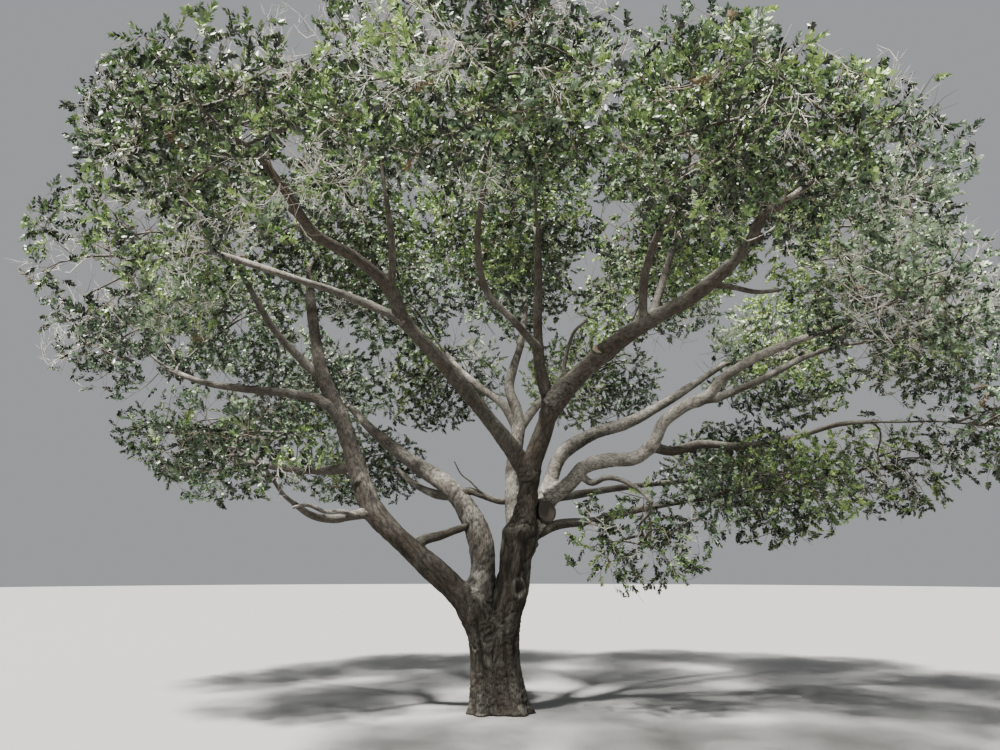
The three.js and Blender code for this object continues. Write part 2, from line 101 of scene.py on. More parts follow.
# The trunk is two stems grown together: centre x, centre y, height and radius of each ring
LEFT_STEM = (
    (-0.32, 0, 0, 0.365), (-0.34, 0.01, 0.35, 0.325), (-0.368, 0.035, 1.3, 0.302),
    (-0.44, 0.06, 1.8, 0.33), (-0.525, 0.085, 2.25, 0.385), (-0.56, 0.11, 2.56, 0.33),
    (-0.57, 0.12, 2.7, 0.15),
)
RIGHT_STEM = (
    (0.3, 0, 0, 0.365), (0.238, -0.02, 0.35, 0.325), (0.13, -0.045, 1.3, 0.302),
    (0.16, -0.05, 2, 0.342), (0.278, -0.045, 2.6, 0.392), (0.36, -0.02, 3.2, 0.372),
    (0.43, 0, 3.55, 0.395), (0.5, 0.02, 3.85, 0.405), (0.545, 0, 4.1, 0.355),
    (0.6, -0.06, 4.35, 0.295), (0.63, -0.11, 4.6, 0.25), (0.64, -0.14, 4.75, 0.14),
)
FLARE_HEIGHT = 0.42
FLARE_SPREAD = 0.34
FLARE_BUTTRESSES = 5
FLARE_LOBES = 0.65
FLUTES = 7
FLUTE_DEPTH = 0.055
FLUTE_TWIST = 0.9
LEFT_BUTTRESS = math.pi / 2
RIGHT_BUTTRESS = 0.0
STEM_RING_SPACING = 0.0384

# Knots and folds on the trunk: kind, place on its skin, half width and half height
KNOTS = (
    ("swirl", (0.42, -0.4, 2.66), 0.17, 0.245),
    ("fold", (-0.36, -0.3, 2.58), 0.19, 0.1),
    ("swirl", (-0.57, -0.23, 1.38), 0.1, 0.1),
    ("bump", (0.13, -0.16, 3.98), 0.22, 0.17),
    ("bump", (0.5, -0.36, 3.95), 0.2, 0.13),
    ("swirl", (-0.45, 0.4, 1.6), 0.13, 0.17),
    ("swirl", (0.4, 0.2, 1.1), 0.08, 0.1),
)
KNOT_THICKNESS = 0.3
KNOT_REACH = 2.2

# A fold: the height of each lip and its place in half heights, and the depth of the hollow
FOLD_LIPS = ((0.035, 0.45), (0.022, -0.4))
FOLD_LIP_WIDTH = 0.3
FOLD_DEPTH = 0.04
FOLD_HOLLOW_WIDTH = 0.16

# Grooves that run down the front of the trunk, as x and height, and the tone of the bark to the right of
# each one; each groove takes painted shade
GROOVES = (
    (((0.46, 3.8), (0.5, 3.3), (0.63, 2.7), (0.5, 2.1), (0.33, 1.5), (0.3, 0.9)), 0.4),
    (((-0.5, 2.3), (-0.52, 1.9), (-0.44, 1.4), (-0.42, 0.8)), 0.12),
    (((0.06, 2.4), (0.1, 1.7), (0.14, 0.9), (0.24, 0.1)), -0.1),
)
GROOVE_WIDTH = 0.035
GROOVE_DEPTH = 0.035
GROOVE_FADE = 0.3
GROOVE_WANDER = 0.02
GROOVE_TONE_WIDTH = 0.05

# Limbs in the order in which they grow: name, what each one stands on, foot and tip radius, and
# the few places that it passes through
LIMBS = (
    ("upper_trunk", "trunk", 0.225, 0.215,
     ((0.52, 0.02, 3.65), (0.65, -0.15, 4.65), (0.72, -0.35, 5.35), (1.08, -0.6, 6.4),
      (1.24, -0.7, 6.95))),
    ("left_bough_low", "trunk", 0.27, 0.235,
     ((-0.56, 0.08, 2.12), (-1.15, -0.1, 2.75), (-1.95, -0.3, 3.45), (-2.45, -0.4, 3.9),
      (-2.95, -0.5, 4.45), (-3.23, -0.5, 5.05))),
    ("left_bough_high", "left_bough_low", 0.232, 0.085,
     ((-3.215, -0.5, 5), (-3.5, -0.4, 5.8), (-3.9, -0.3, 6.8), (-4.35, -0.2, 7.7), (-4.65, 0, 8.8),
      (-4.85, 0.15, 9.75), (-5, 0.3, 10.7))),
    ("left_side_bough", "left_bough_low", 0.12, 0.06,
     ((-2.85, -0.48, 4.38), (-3.4, -0.8, 4.26), (-3.7, -1, 4.18), (-4.1, -1.35, 4.23),
      (-4.4, -1.8, 4.45))),
    ("left_long_bough", "left_bough_high", 0.125, 0.06,
     ((-3.8, -0.32, 6.6), (-4.3, -0.5, 7), (-5.1, -0.35, 7.2), (-6.3, 0, 7.4), (-7.45, 0.4, 7.65),
      (-8.5, 0.7, 8.05))),
    ("left_rear_bough", "left_bough_high", 0.125, 0.06,
     ((-3.35, -0.43, 5.45), (-4.25, 0.5, 5.45), (-5.5, 1.25, 5.6), (-7.2, 2.05, 5.95))),
    ("left_inner_bough", "left_bough_high", 0.11, 0.06,
     ((-4.33, -0.2, 7.6), (-4.95, -0.15, 8.15), (-5.6, -0.35, 8.85), (-6.2, -0.9, 9.9))),
    ("middle_bough", "trunk", 0.325, 0.09,
     ((-0.47, 0.15, 2.25), (-0.4, 0.4, 3.05), (-0.48, 0.6, 3.8), (-0.75, 0.9, 4.4), (-1.12, 1.3, 4.95),
      (-1.65, 1.8, 5.4), (-2.3, 2.4, 5.85), (-3.7, 3.7, 7), (-4.6, 4.6, 7.9))),
    ("rear_low_bough", "middle_bough", 0.13, 0.06,
     ((-1.12, 1.3, 4.9), (-1.75, 2.3, 5.05), (-2.45, 3.6, 5.45), (-3.15, 5.1, 6.05))),
    ("front_left_bough", "upper_trunk", 0.205, 0.07,
     ((0.7, -0.33, 5.2), (0.2, -0.7, 5.9), (-0.5, -1.3, 6.7), (-1.35, -2, 7.6), (-2.05, -2.8, 8.25),
      (-2.3, -3.3, 8.75), (-2.9, -4, 9.15), (-3.6, -4.6, 9.4), (-3.95, -5.2, 9.85),
      (-4.35, -5.8, 10.35))),
    ("front_left_side_bough", "front_left_bough", 0.095, 0.055,
     ((-2.05, -2.8, 8.2), (-2.65, -3.05, 8.45), (-3.45, -3.3, 8.7), (-4.1, -3.6, 8.83),
      (-5, -3.9, 9.05), (-5.9, -3.9, 9.35))),
    ("front_left_rising_bough", "front_left_bough", 0.085, 0.05,
     ((-2.28, -3.25, 8.7), (-2.2, -3.8, 9.4), (-2.3, -4.2, 10.4))),
    ("top_bough", "upper_trunk", 0.15, 0.07,
     ((1.2, -0.69, 6.85), (0.96, -0.78, 7.65), (0.9, -1, 8.6), (0.9, -1.3, 9.5), (0.9, -1.8, 10.8))),
    ("front_middle_bough", "top_bough", 0.09, 0.055,
     ((0.91, -0.93, 8.15), (0.35, -1.7, 8.55), (-0.28, -2.6, 8.95), (-0.45, -4, 9.5), (-0.3, -5.4, 10))),
    ("right_high_bough", "upper_trunk", 0.235, 0.085,
     ((1.2, -0.66, 6.85), (1.7, -1, 7.35), (2.4, -1.6, 7.9), (3.2, -2.3, 8.35), (4.05, -3, 8.68),
      (4.65, -3.6, 9.08), (5, -4.1, 9.45), (5.15, -4.55, 9.78), (5.5, -4.9, 9.95))),
    ("right_front_bough", "right_high_bough", 0.1, 0.055,
     ((3.15, -2.25, 8.32), (3.05, -3.2, 9.05), (3.15, -4.2, 9.55), (3.5, -5.2, 9.95))),
    ("right_rising_bough", "right_high_bough", 0.11, 0.06,
     ((3.3, -2.35, 8.38), (3.65, -2.15, 9.3), (4, -2.3, 10.4))),
    ("rear_stem", "trunk", 0.195, 0.075,
     ((0.42, 0.18, 3.65), (0.3, 0.52, 4.75), (0.3, 0.8, 5.5), (0.45, 1.1, 6.3), (0.45, 1.4, 7.1),
      (0.25, 1.7, 7.8), (0.38, 2.25, 8.55), (0.6, 2.85, 9.4), (0.8, 3.9, 11))),
    ("rear_left_bough", "rear_stem", 0.125, 0.06,
     ((0.48, 1.28, 6.6), (0.1, 1.7, 7.35), (-0.45, 2.5, 7.95), (-1.15, 3.6, 8.8), (-1.75, 5, 9.8))),
    ("rear_right_bough", "rear_stem", 0.125, 0.06,
     ((0.43, 1.2, 6.5), (0.95, 1.75, 7.3), (1.7, 2.65, 8.15), (2.8, 3.8, 9), (3.8, 5.1, 9.85))),
    ("right_rear_bough", "trunk", 0.215, 0.075,
     ((0.6, 0.08, 3.7), (1, 0.25, 4.4), (1.24, 0.5, 5.2), (1.56, 0.8, 5.9), (2.35, 1.2, 6.45),
      (3.35, 1.7, 6.85), (4.15, 2.2, 7.3), (5.15, 2.8, 7.95), (6.8, 3.8, 9.1))),
    ("right_bough", "right_rear_bough", 0.19, 0.08,
     ((1.13, 0.34, 4.75), (1.7, 0.23, 5.12), (2.05, 0.2, 5.5), (2.65, 0.1, 5.65), (3.25, 0, 5.68),
      (3.68, -0.1, 6.02), (3.95, -0.2, 6.53), (4.45, -0.3, 6.9), (5, -0.4, 7.13), (5.35, -0.5, 7.53),
      (6.05, -0.8, 7.95), (6.85, -1.1, 8.25), (7.5, -1.5, 8.4))),
    ("right_long_bough", "right_bough", 0.11, 0.06,
     ((4.75, -0.35, 7.03), (5.5, 0.15, 7.25), (6.8, 0.6, 7.85), (8.05, 0.95, 8.5), (9.2, 1.1, 8.9))),
    ("right_drooping_bough", "right_bough", 0.12, 0.05,
     ((3.62, -0.09, 5.96), (4.2, 0.2, 5.88), (4.95, 0.5, 6.1), (6.1, 0.9, 6.12), (7.55, 1.3, 6.38),
      (8.9, 1.45, 6.78), (9.9, 1.35, 6.85))),
    ("right_small_bough", "right_bough", 0.08, 0.04,
     ((1.95, 0.2, 5.3), (2.18, -0.2, 5.07), (2.45, -0.5, 5.15), (2.75, -0.9, 5.06), (3.1, -1.3, 4.78),
      (3.3, -1.55, 4.5))),
    ("right_low_bough", "trunk", 0.13, 0.06,
     ((0.62, 0.06, 3.75), (1.35, 0.35, 4.12), (2.3, 0.6, 4.23), (3.3, 0.85, 4.5), (4.7, 1.05, 4.75))),
    ("right_low_rear_bough", "right_rear_bough", 0.12, 0.06,
     ((1.1, 0.42, 4.75), (1.9, 1.6, 4.95), (3.4, 3.1, 5.3), (5.6, 4.5, 5.65))),
)

# Small limbs between the boughs, laid out in the same way
SMALL_LIMBS = (
    ("crossing_limb_low", "left_bough_low", 0.115, 0.085,
     ((-1.95, -0.28, 3.5), (-1.82, -0.2, 3.72), (-1.42, 0.1, 3.86), (-0.91, 0.5, 4.06),
      (-0.62, 0.8, 4.16))),
    ("crossing_limb_high", "middle_bough", 0.09, 0.08,
     ((-1.0, 1.15, 4.95), (-0.78, 1, 5), (-0.4, 0.9, 4.86), (0, 0.75, 4.72), (0.28, 0.6, 4.72))),
    ("crossing_twig", "crossing_limb_high", 0.03, 0.014,
     ((-0.32, 0.87, 4.86), (-0.5, 0.84, 4.98), (-0.74, 0.86, 5.22), (-0.97, 0.9, 5.4),
      (-1.15, 0.85, 5.72))),
    ("left_side_limb", "left_side_bough", 0.055, 0.035,
     ((-3.3, -0.78, 4.28), (-3.5, -1.1, 4.33), (-3.82, -1.4, 4.31), (-4.12, -1.7, 4.43),
      (-4.35, -2, 4.36))),
    ("right_high_side_limb", "right_high_bough", 0.07, 0.035,
     ((4.2, -3.1, 8.75), (4.45, -3.2, 8.86), (4.8, -3.35, 8.78), (5.17, -3.7, 8.54),
      (5.5, -4.1, 8.42))),
    ("right_high_low_limb", "right_high_bough", 0.06, 0.03,
     ((1.62, -0.93, 7.25), (1.5, -1.05, 7.6), (1.56, -1.1, 7.98), (1.73, -1.3, 8.45), (2, -1.6, 8.65))),
)

# A limb that carries on its parent's line has no swelling at its foot
CARRIES_ON = ("left_bough_high",)
COLLAR_SWELL = 0.28
COLLAR_REACH = 2.2
TAPER_POWER = 0.85
CURVE_STEPS = 24
CLOSEST_RINGS = 0.035
WIDEST_RINGS = 0.11
RINGS_PER_RADIUS = 0.32
OVAL = 0.05
OVAL_TWIST = 0.35

# Skin swells where a limb grows from another one, over a share of the thinner one's radius, and sinks
# where two merely touch; that crease, and the line between the two stems, take painted shade
FILLET_REACH = 0.8
FILLET_RISE = 0.24
CREASE_WIDTH = 0.08
CREASE_DEPTH = 0.02
FULL_CREASE_RADIUS = 0.25
MEETING_MARGIN = 2.2
STEM_REACH = 0.34
STEM_RISE = 0.085
STEM_CREASE_WIDTH = 0.03
STEM_CREASE = 0.5

# Limbs that press against a stem without growing from it, and limbs that a stem passes into, so
# that only the limb swells towards it
TOUCHING = (
    ("middle_bough", "right_stem"), ("rear_stem", "left_stem"), ("left_bough_low", "right_stem"),
    ("upper_trunk", "left_stem"), ("right_rear_bough", "left_stem"), ("right_low_bough", "left_stem"),
)
PASSES_INTO = (("upper_trunk", "right_stem"), ("middle_bough", "left_stem"))

# Pruned side limbs: what each one stands on, the share of that limb's length, where it points,
# its length and its radius
STUBS = (
    ("front_left_bough", 0.86, (-0.8, -0.3, 0.5), 0.26, 0.062),
    ("right_high_bough", 0.235, (-0.1, -0.85, 0.5), 0.26, 0.125),
    ("right_high_bough", 0.8, (0.75, -0.1, 0.65), 0.56, 0.085),
    ("right_rear_bough", 0.085, (0.28, -0.93, 0.1), 0.42, 0.23),
)
STUB_RINGS = 12
STUB_FLARE = 0.25
STUB_LIP = 0.1
STUB_LIP_PLACE = 0.93
STUB_LIP_WIDTH = 0.1

# How a skin closes beyond its last ring: share of that ring's width and how far ahead, in metres
# on a cut face and in radii on a rounded tip
CUT_END = ((0.975, 0.01), (0.93, 0.015), (0.7, 0.018), (0.35, 0.019))
ROUND_END = tuple((math.cos(turn), 0.8 * math.sin(turn)) for turn in (0.5, 0.95, 1.3))
CUT_FACE_ROWS = 2
OLD_CUT_RADIUS = 0.15
FRESH_CUT = 1
OLD_CUT = 2

# Masses of leaves: name, the limb whose tip each one grows from, the middle of its space, and
# the half widths of that space across, in depth and in height
MASSES = (
    ("left_tip", "left_long_bough", (-9.9, 0.9, 8.9), (2.05, 2.1, 1.7)),
    ("left_rear", "left_long_bough", (-8.2, 3.3, 10.1), (2.6, 2.6, 2.2)),
    ("left_front", "front_left_side_bough", (-7.9, -2.7, 9.6), (2.5, 2.5, 2.1)),
    ("left_upper", "left_inner_bough", (-7.2, -2.7, 12.4), (2.7, 2.6, 2.1)),
    ("left_high", "left_bough_high", (-4.6, 1.2, 12.1), (2.9, 2.8, 2.6)),
    ("left_low_rear", "left_rear_bough", (-8.6, 3, 6.8), (2.3, 2.3, 1.5)),
    ("left_low", "left_side_bough", (-5.6, -2.3, 5.6), (2, 1.8, 1.4)),
    ("near_left", "front_left_bough", (-4.3, -7, 9.9), (2.6, 2.4, 2)),
    ("front_left_top", "front_left_rising_bough", (-2.7, -4.4, 12.7), (2.7, 2.6, 2.1)),
    ("near_middle", "front_middle_bough", (-0.1, -7.2, 10.7), (2.6, 2.4, 2)),
    ("near_right", "right_front_bough", (3.9, -6.9, 10), (2.6, 2.4, 2)),
    ("right_front", "right_high_bough", (6.5, -5.2, 10.6), (2.4, 2.4, 2)),
    ("right_middle", "right_bough", (8.5, -3.1, 8.6), (2.3, 2.2, 1.8)),
    ("right_front_top", "right_rising_bough", (4.3, -3.7, 12.7), (2.7, 2.6, 2.1)),
    ("front_top", "top_bough", (0.7, -3.6, 13), (2.6, 2.6, 1.9)),
    ("top", "top_bough", (0.2, 0.6, 12.4), (2.8, 2.7, 2.45)),
    ("top_right", "right_rising_bough", (4.9, 0.3, 12.2), (2.8, 2.6, 2.5)),
    ("right_upper", "right_long_bough", (8.8, -0.8, 11.1), (2.6, 2.6, 2.1)),
    ("right_tip", "right_long_bough", (11.2, 0.9, 9), (2.35, 2.5, 1.9)),
    ("right_droop", "right_drooping_bough", (10.5, 2.5, 5.8), (2.2, 2, 1.6)),
    ("right_end_low", "right_drooping_bough", (11.8, -0.5, 6.4), (1.7, 1.9, 1.6)),
    ("right_low", "right_low_bough", (6.6, 0.4, 5), (2.45, 1.9, 1.55)),
    ("right_hanging", "right_small_bough", (3.15, -1, 3.85), (1.95, 1.3, 1.5)),
    ("right_rear", "right_rear_bough", (8.7, 4.5, 9.4), (2.7, 2.7, 2.3)),
    ("right_low_rear", "right_low_rear_bough", (7.5, 5.7, 6.3), (2.6, 2.5, 1.6)),
    ("rear_right_top", "rear_right_bough", (4.9, 4.9, 12), (2.8, 2.6, 2.4)),
    ("rear_right", "rear_right_bough", (3.2, 7.3, 9.6), (2.7, 2.3, 2.1)),
    ("rear_top", "rear_stem", (0.5, 4.9, 12.3), (2.7, 2.5, 2.4)),
    ("rear_left_top", "rear_left_bough", (-3.4, 5.1, 12), (2.7, 2.5, 2.4)),
    ("rear_left", "rear_left_bough", (-2.2, 7.3, 9.6), (2.7, 2.3, 2.1)),
    ("far_left", "middle_bough", (-6, 6, 8.9), (2.6, 2.6, 2.1)),
    ("rear_low", "rear_low_bough", (-4.7, 6.7, 6.4), (2.6, 2.3, 1.5)),
)
CROWN_HEART = np.array([0.5, 0.0, 6.5])
SPACE_MARGIN = 0.025
USUAL_VOLUME = 36.0
VOLUME_SAMPLES = 2000

# Steps that spread places evenly in a box
EVEN_STEPS = np.array([0.8191725134, 0.6710436067, 0.5497004779])

# The stem of a mass, as in the solids, but for its foot, which is deeper in its bough
STEM_TIP = 0.024
SINGLE_FOOT = 0.85
SHARED_FOOT = 0.55
SHARED_SHIFT = 0.75
STEM_SINK = 2.5
STEM_START = 0.12
STEM_END = 0.45
STEM_RINGS = 0.09
STEM_WANDER = 0.05
STEM_RIPPLE = 9

# The main twigs of a mass, by the rule that the solids follow
TWIG_COUNT = 6
TWIG_FROM = 0.5
TWIG_SPAN = 0.48
TWIG_TURN = 0.6
TWIG_LIFT = 0.75
TWIG_REACH = 0.62
TWIG_FOOT = 0.034
TWIG_TIP = 0.014
TWIG_RINGS = 0.11
TWIG_BOW = 0.1
TWIG_RISE = 0.08
SHORTEST_TWIG = 0.25
TWIG_TRIES = 4
TWIG_SHORTENING = 0.75

# Side branches, shoots and sprays: where they may stand, in shares of the way to the edge of the
# space, and how far they keep from limbs
BRANCH_ZONE = (0.3, 0.86)
BRANCH_POINTS = 5
BRANCH_RADII = (0.015, 0.006)
BRANCH_SAG = 0.1
SHOOT_ZONE = (0.0, 0.95)
SHOOT_POINTS = 3
SHOOT_RADII = (0.0065, 0.003)
SHOOT_DROP = 0.25
SHORTEST_GROWTH = 0.1
LEAST_STEP = 0.12
SIDEWAYS_COST = 1.25
ALONG_GAIN = 0.55
TOO_CLOSE_COST = 1.0
BEND_LEAVE = 0.16
BEND_STRAY = 0.05
SPRAY_FROM = 0.3
SPRAY_SPAN = 0.69
SPRAY_MIDDLE = 0.6
SPRAY_REACH = 1.3
SPRAY_RISE = 0.2
SPRAY_HANG = 1.1
END_LEAN = 0.15
SIDE_LEAN = 0.9
SPRAY_OVERLAP = 0.2
SPRAY_MARGIN = 0.06
LIMB_MARGIN = 0.02
WOOD_REACH = 0.6
TWIG_SIDES = 3

# Masses with more dead twigs than the rest, and those whose twigs hang
DEAD_SHARE = {
    "right_tip": 0.34, "right_end_low": 0.3, "right_upper": 0.26, "right_middle": 0.34,
    "right_droop": 0.2, "left_front": 0.26, "near_middle": 0.2, "front_left_top": 0.24,
    "left_low": 0.12, "left_tip": 0.16, "near_left": 0.2, "right_front": 0.16,
    "front_top": 0.1, "near_right": 0.08,
}
USUAL_DEAD_SHARE = 0.05
DEAD_PATCHES = 0.7
HANGING = {
    "right_tip": 0.28, "right_end_low": 0.4, "right_droop": 0.35, "right_low": 0.25,
    "right_hanging": 0.5, "left_low": 0.2, "left_low_rear": 0.2, "rear_low": 0.25,
    "right_low_rear": 0.25,
}
USUAL_HANG = 0.06

# How much paler (or, below 0, darker and warmer) some limbs are than the rest: partly their bark's own
# colour, mostly painted sunlight on lit limbs and painted shade on shaded ones
LIMB_LIGHT_AND_TONE = {
    "left_stem": -0.35, "right_stem": -0.6, "upper_trunk": -0.8, "left_bough_low": -0.65,
    "left_bough_high": -0.45, "middle_bough": -0.1, "rear_stem": 0.3, "right_rear_bough": 0.75,
    "right_bough": 1.1, "front_left_bough": -0.4, "right_high_bough": -0.35, "top_bough": -0.5,
    "front_left_side_bough": 0.4, "left_long_bough": -0.1, "right_small_bough": 0.7,
    "front_middle_bough": 0.2, "right_long_bough": 0.4, "rear_left_bough": 0.25,
    "rear_right_bough": 0.35, "right_low_bough": 0.2, "crossing_limb_low": -0.6,
    "crossing_limb_high": -0.5, "crossing_twig": -0.4, "left_side_limb": 0.7,
}

# Where the tree is looked at from, and how far along each of these limbs few leaves grow before it
CAMERA_PLACE = np.array([0.0, -18.0, 3.12])
SHOWN_LIMBS = {
    "front_left_bough": 1.0, "front_left_side_bough": 0.8, "right_high_bough": 1.0,
    "left_long_bough": 0.9, "left_bough_high": 0.45, "front_middle_bough": 0.4, "top_bough": 0.45,
    "right_rear_bough": 0.9, "right_bough": 0.9, "right_long_bough": 0.5, "left_side_bough": 0.8,
    "right_drooping_bough": 0.4, "rear_stem": 0.6, "middle_bough": 0.6, "right_low_bough": 0.3,
    "right_small_bough": 0.6, "left_rear_bough": 0.3, "right_low_rear_bough": 0.2,
}
SHOWN_MARGIN = 0.15
STRAY_SHARE = 0.14
RAGGEDNESS = 0.35
RAGGED_PATCHES = 2.2

# Openings in the crown: where the line of sight through each one crosses y = 0, and its radius
SKY_GAPS = (
    (-5.6, 14.1, 0.4), (-5.8, 13.4, 0.35), (-5.4, 12.1, 0.3), (-6.6, 9, 0.3), (-1.1, 8.8, 0.4),
    (0.2, 8.4, 0.3), (1.5, 9, 0.45), (3.2, 11.6, 0.5), (2.2, 10.6, 0.5), (5, 13.6, 0.35),
    (3.5, 9.6, 0.4), (4, 8.4, 0.5), (5.1, 8.2, 0.5), (3.2, 8.2, 0.35), (8.9, 11.7, 0.35),
    (8.9, 8.3, 0.35), (-7, 6.8, 0.35), (-2.8, 8.2, 0.25), (-8.5, 7.3, 0.4), (-9.2, 11.9, 0.4),
    (-8, 6, 0.3), (8.3, 8, 0.3), (-3.9, 8.6, 0.3), (-10.6, 10.2, 0.7), (-11.2, 10.8, 0.35),
    (-5.6, 18, 0.6), (-5.6, 17, 0.35), (-6.6, 14.3, 0.35), (-9.9, 7.6, 0.35), (-8.8, 7.9, 0.35),
    (-6.9, 7.6, 0.3), (-7.2, 6.8, 0.35), (-8, 6.9, 0.3), (8.4, 18.2, 0.7), (9.5, 17.6, 0.6),
    (10.5, 17.8, 0.7), (12, 16.8, 0.9), (12.8, 15.7, 0.7), (13.1, 14.6, 0.4), (-11.4, 16.8, 0.4),
    (-5, 8.4, 0.25), (-8, 8.6, 0.25), (-9.3, 8.8, 0.25), (3, 12.1, 0.4), (4.4, 17.2, 0.3),
    (4.8, 8.6, 0.35), (-0.3, 8.9, 0.25), (1, 8.8, 0.25),
)

# Which limbs share one piece of bark
BARK_PIECES = {
    "bark_front_boughs": (
        "upper_trunk", "front_left_bough", "front_left_side_bough", "front_left_rising_bough",
        "top_bough", "front_middle_bough",
    ),
    "bark_left_boughs": (
        "left_bough_low", "left_bough_high", "left_side_bough", "left_long_bough",
        "left_rear_bough", "left_inner_bough", "crossing_limb_low", "left_side_limb",
    ),
    "bark_rear_boughs": (
        "crossing_limb_high", "crossing_twig", "middle_bough", "rear_low_bough", "rear_stem",
        "rear_left_bough", "rear_right_bough",
    ),
    "bark_right_boughs": (
        "right_high_bough", "right_front_bough", "right_rising_bough", "right_rear_bough",
        "right_bough", "right_long_bough", "right_drooping_bough", "right_small_bough",
        "right_low_bough", "right_low_rear_bough", "right_high_side_limb", "right_high_low_limb",
    ),
}

# Leaf tints: the dull ones from shade to sun, the lush ones from shade to sun, the browned one;
# each with the tint number from which it holds, its colour's setting and its roughness
LEAF_TINTS = (
    ("leaf_deep", 0, "deep", 0.36), ("leaf_mid", 1, "mid", 0.36), ("leaf_grey", 2, "grey", 0.45),
    ("leaf_pale", 3, "pale", 0.45), ("leaf_shade", 7, "deep", 0.36), ("leaf_fresh", 9, "fresh", 0.36),
    ("leaf_bright", 10, "bright", 0.4), ("leaf_lime", 11, "lime", 0.42), ("leaf_brown", 15, "brown", 0.75),
)
CROWN_MIDDLE = 9.0
CROWN_RISE = 6
CROWN_LIGHT = 0.16
MASS_LIGHT = 0.2
USUAL_LIGHT = 0.16
LIGHT_PATCHES = ((0.75, 0.55, 42), (0.5, 1.3, 45))
TINT_LIGHTS = (0.0, 0.42, 0.88)
SHOOT_STRAY = 0.22
SPRAY_STRAY = 0.16
LUSH_PATCHES = 0.42
LUSH_STRAY = 0.16
LEAF_STEPS = (-1, 0, 0, 0, 1, 1)
LUSH_FROM = -0.02
LUSH_TINT = 8
BROWN_TINT = 20
BROWN_SHARE = 0.004
LEAF_SHEEN = 0.5
BARK_SHEEN = 0.25

# Relief of the bark, which is in full on limbs of this radius and over
FULL_BARK_RADIUS = 0.36
FURROW_SHARPNESS = 4.2
SIDE_FURROW_SHARPNESS = 3.6
LUMP_SCALE = np.array([2.2, 2.2, 1.3])
GRIT_SCALE = np.array([38, 38, 22])

# Faces of the skin: a limb of this radius has full ones, and the rest keep to these shares
FACE_RADIUS = 0.2
FACE_RANGE = (0.55, 1.25)
FEWEST_SIDES = 6
MOST_SIDES = 100

# Plate width, stretch, warmth and depth of the fine bark on trunk, boughs and young wood
FINE_BARK = {
    "trunk_bark": (0.05, 6.0, 0.42, 0.014),
    "bough_bark": (0.04, 4.0, 0.36, 0.01),
    "young_bark": (0.03, 2.5, 0.35, 0.004),
}

# One leaf: each corner's place across, along and off its midrib, in half widths, lengths and
# half widths
LEAF_OUTLINE = ((0, 0, 0), (0.95, 0.42, 0.2), (0, 1, -0.1), (-1, 0.56, 0.2))
LEAF_FACES = np.array([(0, 1, 2), (0, 2, 3)])

# The leaves on a spray of unit length, which lean out less towards its tip
LOWEST_LEAF = 0.12
LEAF_LEAN = 1.15
LEAF_LEAN_LOST = 0.75
LEAF_TURN_STRAY = 0.3
LEAF_FACING_STRAY = 0.35
LEAF_STANDOFF = 0.015

# The twiglets of sprays, with leaves or bare
SPRIG_SHAPES = 5
BARE_SPRIG = SPRIG_SHAPES
BARE_TWIGLETS = 5
TWIGLET_RADIUS = 0.014
BARE_TWIGLET_RADIUS = 0.015
TWIG_LEVELS = (0, 1)

# The studio; the camera's rise and lens are the photograph's own
CAMERA_RISE = math.atan(193 / 750)
CAMERA_LENS = 27.0
CAMERA_FILM = 36.0
CAMERA_RANGE = 600.0
FLOOR_RADIUS = 140.0
FLOOR_DROP = 0.004
FLOOR_SIDES = 96
SKY_COLOUR = (0.93, 0.96, 1.0, 1.0)
SUN_COLOUR = (1.0, 0.97, 0.92)
SUN_WIDTH = math.radians(4.5)
SUN_TURN = (math.radians(27), math.radians(-6), math.radians(-24))


class OakBarkSettings(bpy.types.PropertyGroup):
    """Sizes and colours of the bark."""

    skin_cell: FloatProperty(
        name="Skin cell", description="Width of one face round a thick limb",
        default=0.028, min=0.01, unit="LENGTH")
    furrow_spacing: FloatProperty(
        name="Furrow spacing", description="Distance between furrows on the trunk",
        default=0.15, min=0.02, unit="LENGTH")
    furrow_depth: FloatProperty(
        name="Furrow depth", description="Depth of a furrow on the trunk",
        default=0.034, min=0.0, unit="LENGTH")
    furrow_stretch: FloatProperty(
        name="Furrow stretch", description="How much longer than wide a plate of bark is",
        default=5.5, min=1.0)
    lump_height: FloatProperty(
        name="Lump height", description="Unevenness of a limb, as a share of its radius",
        default=0.12, min=0.0)
    # Pale bark: weathering and lichen, and painted sunlight on upper sides and on lit limbs
    pale: FloatVectorProperty(
        name="Pale bark", description="Bark on the upper side of a bough",
        default=(0.5, 0.47, 0.41), size=3, subtype="COLOR")
    grey: FloatVectorProperty(
        name="Grey bark", description="Weathered bark",
        default=(0.125, 0.117, 0.1), size=3, subtype="COLOR")
    # Warm bark: flaking bark, and painted shade on undersides and on shaded limbs
    warm: FloatVectorProperty(
        name="Warm bark", description="Sheltered, flaking bark",
        default=(0.07, 0.057, 0.043), size=3, subtype="COLOR")
    # Near black: cracks in the bark, and painted shade in furrows, creases, grooves and knot hollows
    crack_and_shade: FloatVectorProperty(
        name="Crack", description="Bottom of a furrow",
        default=(0.006, 0.005, 0.004), size=3, subtype="COLOR")
    cut_wood: FloatVectorProperty(
        name="Cut wood", description="Face of a pruned limb",
        default=(0.5, 0.42, 0.3), size=3, subtype="COLOR")
    # A large old cut's face: darkened partly by age and partly with painted shade
    old_cut_and_shade: FloatVectorProperty(
        name="Old cut", description="Darkened face of a limb that was pruned long ago",
        default=(0.03, 0.029, 0.03), size=3, subtype="COLOR")


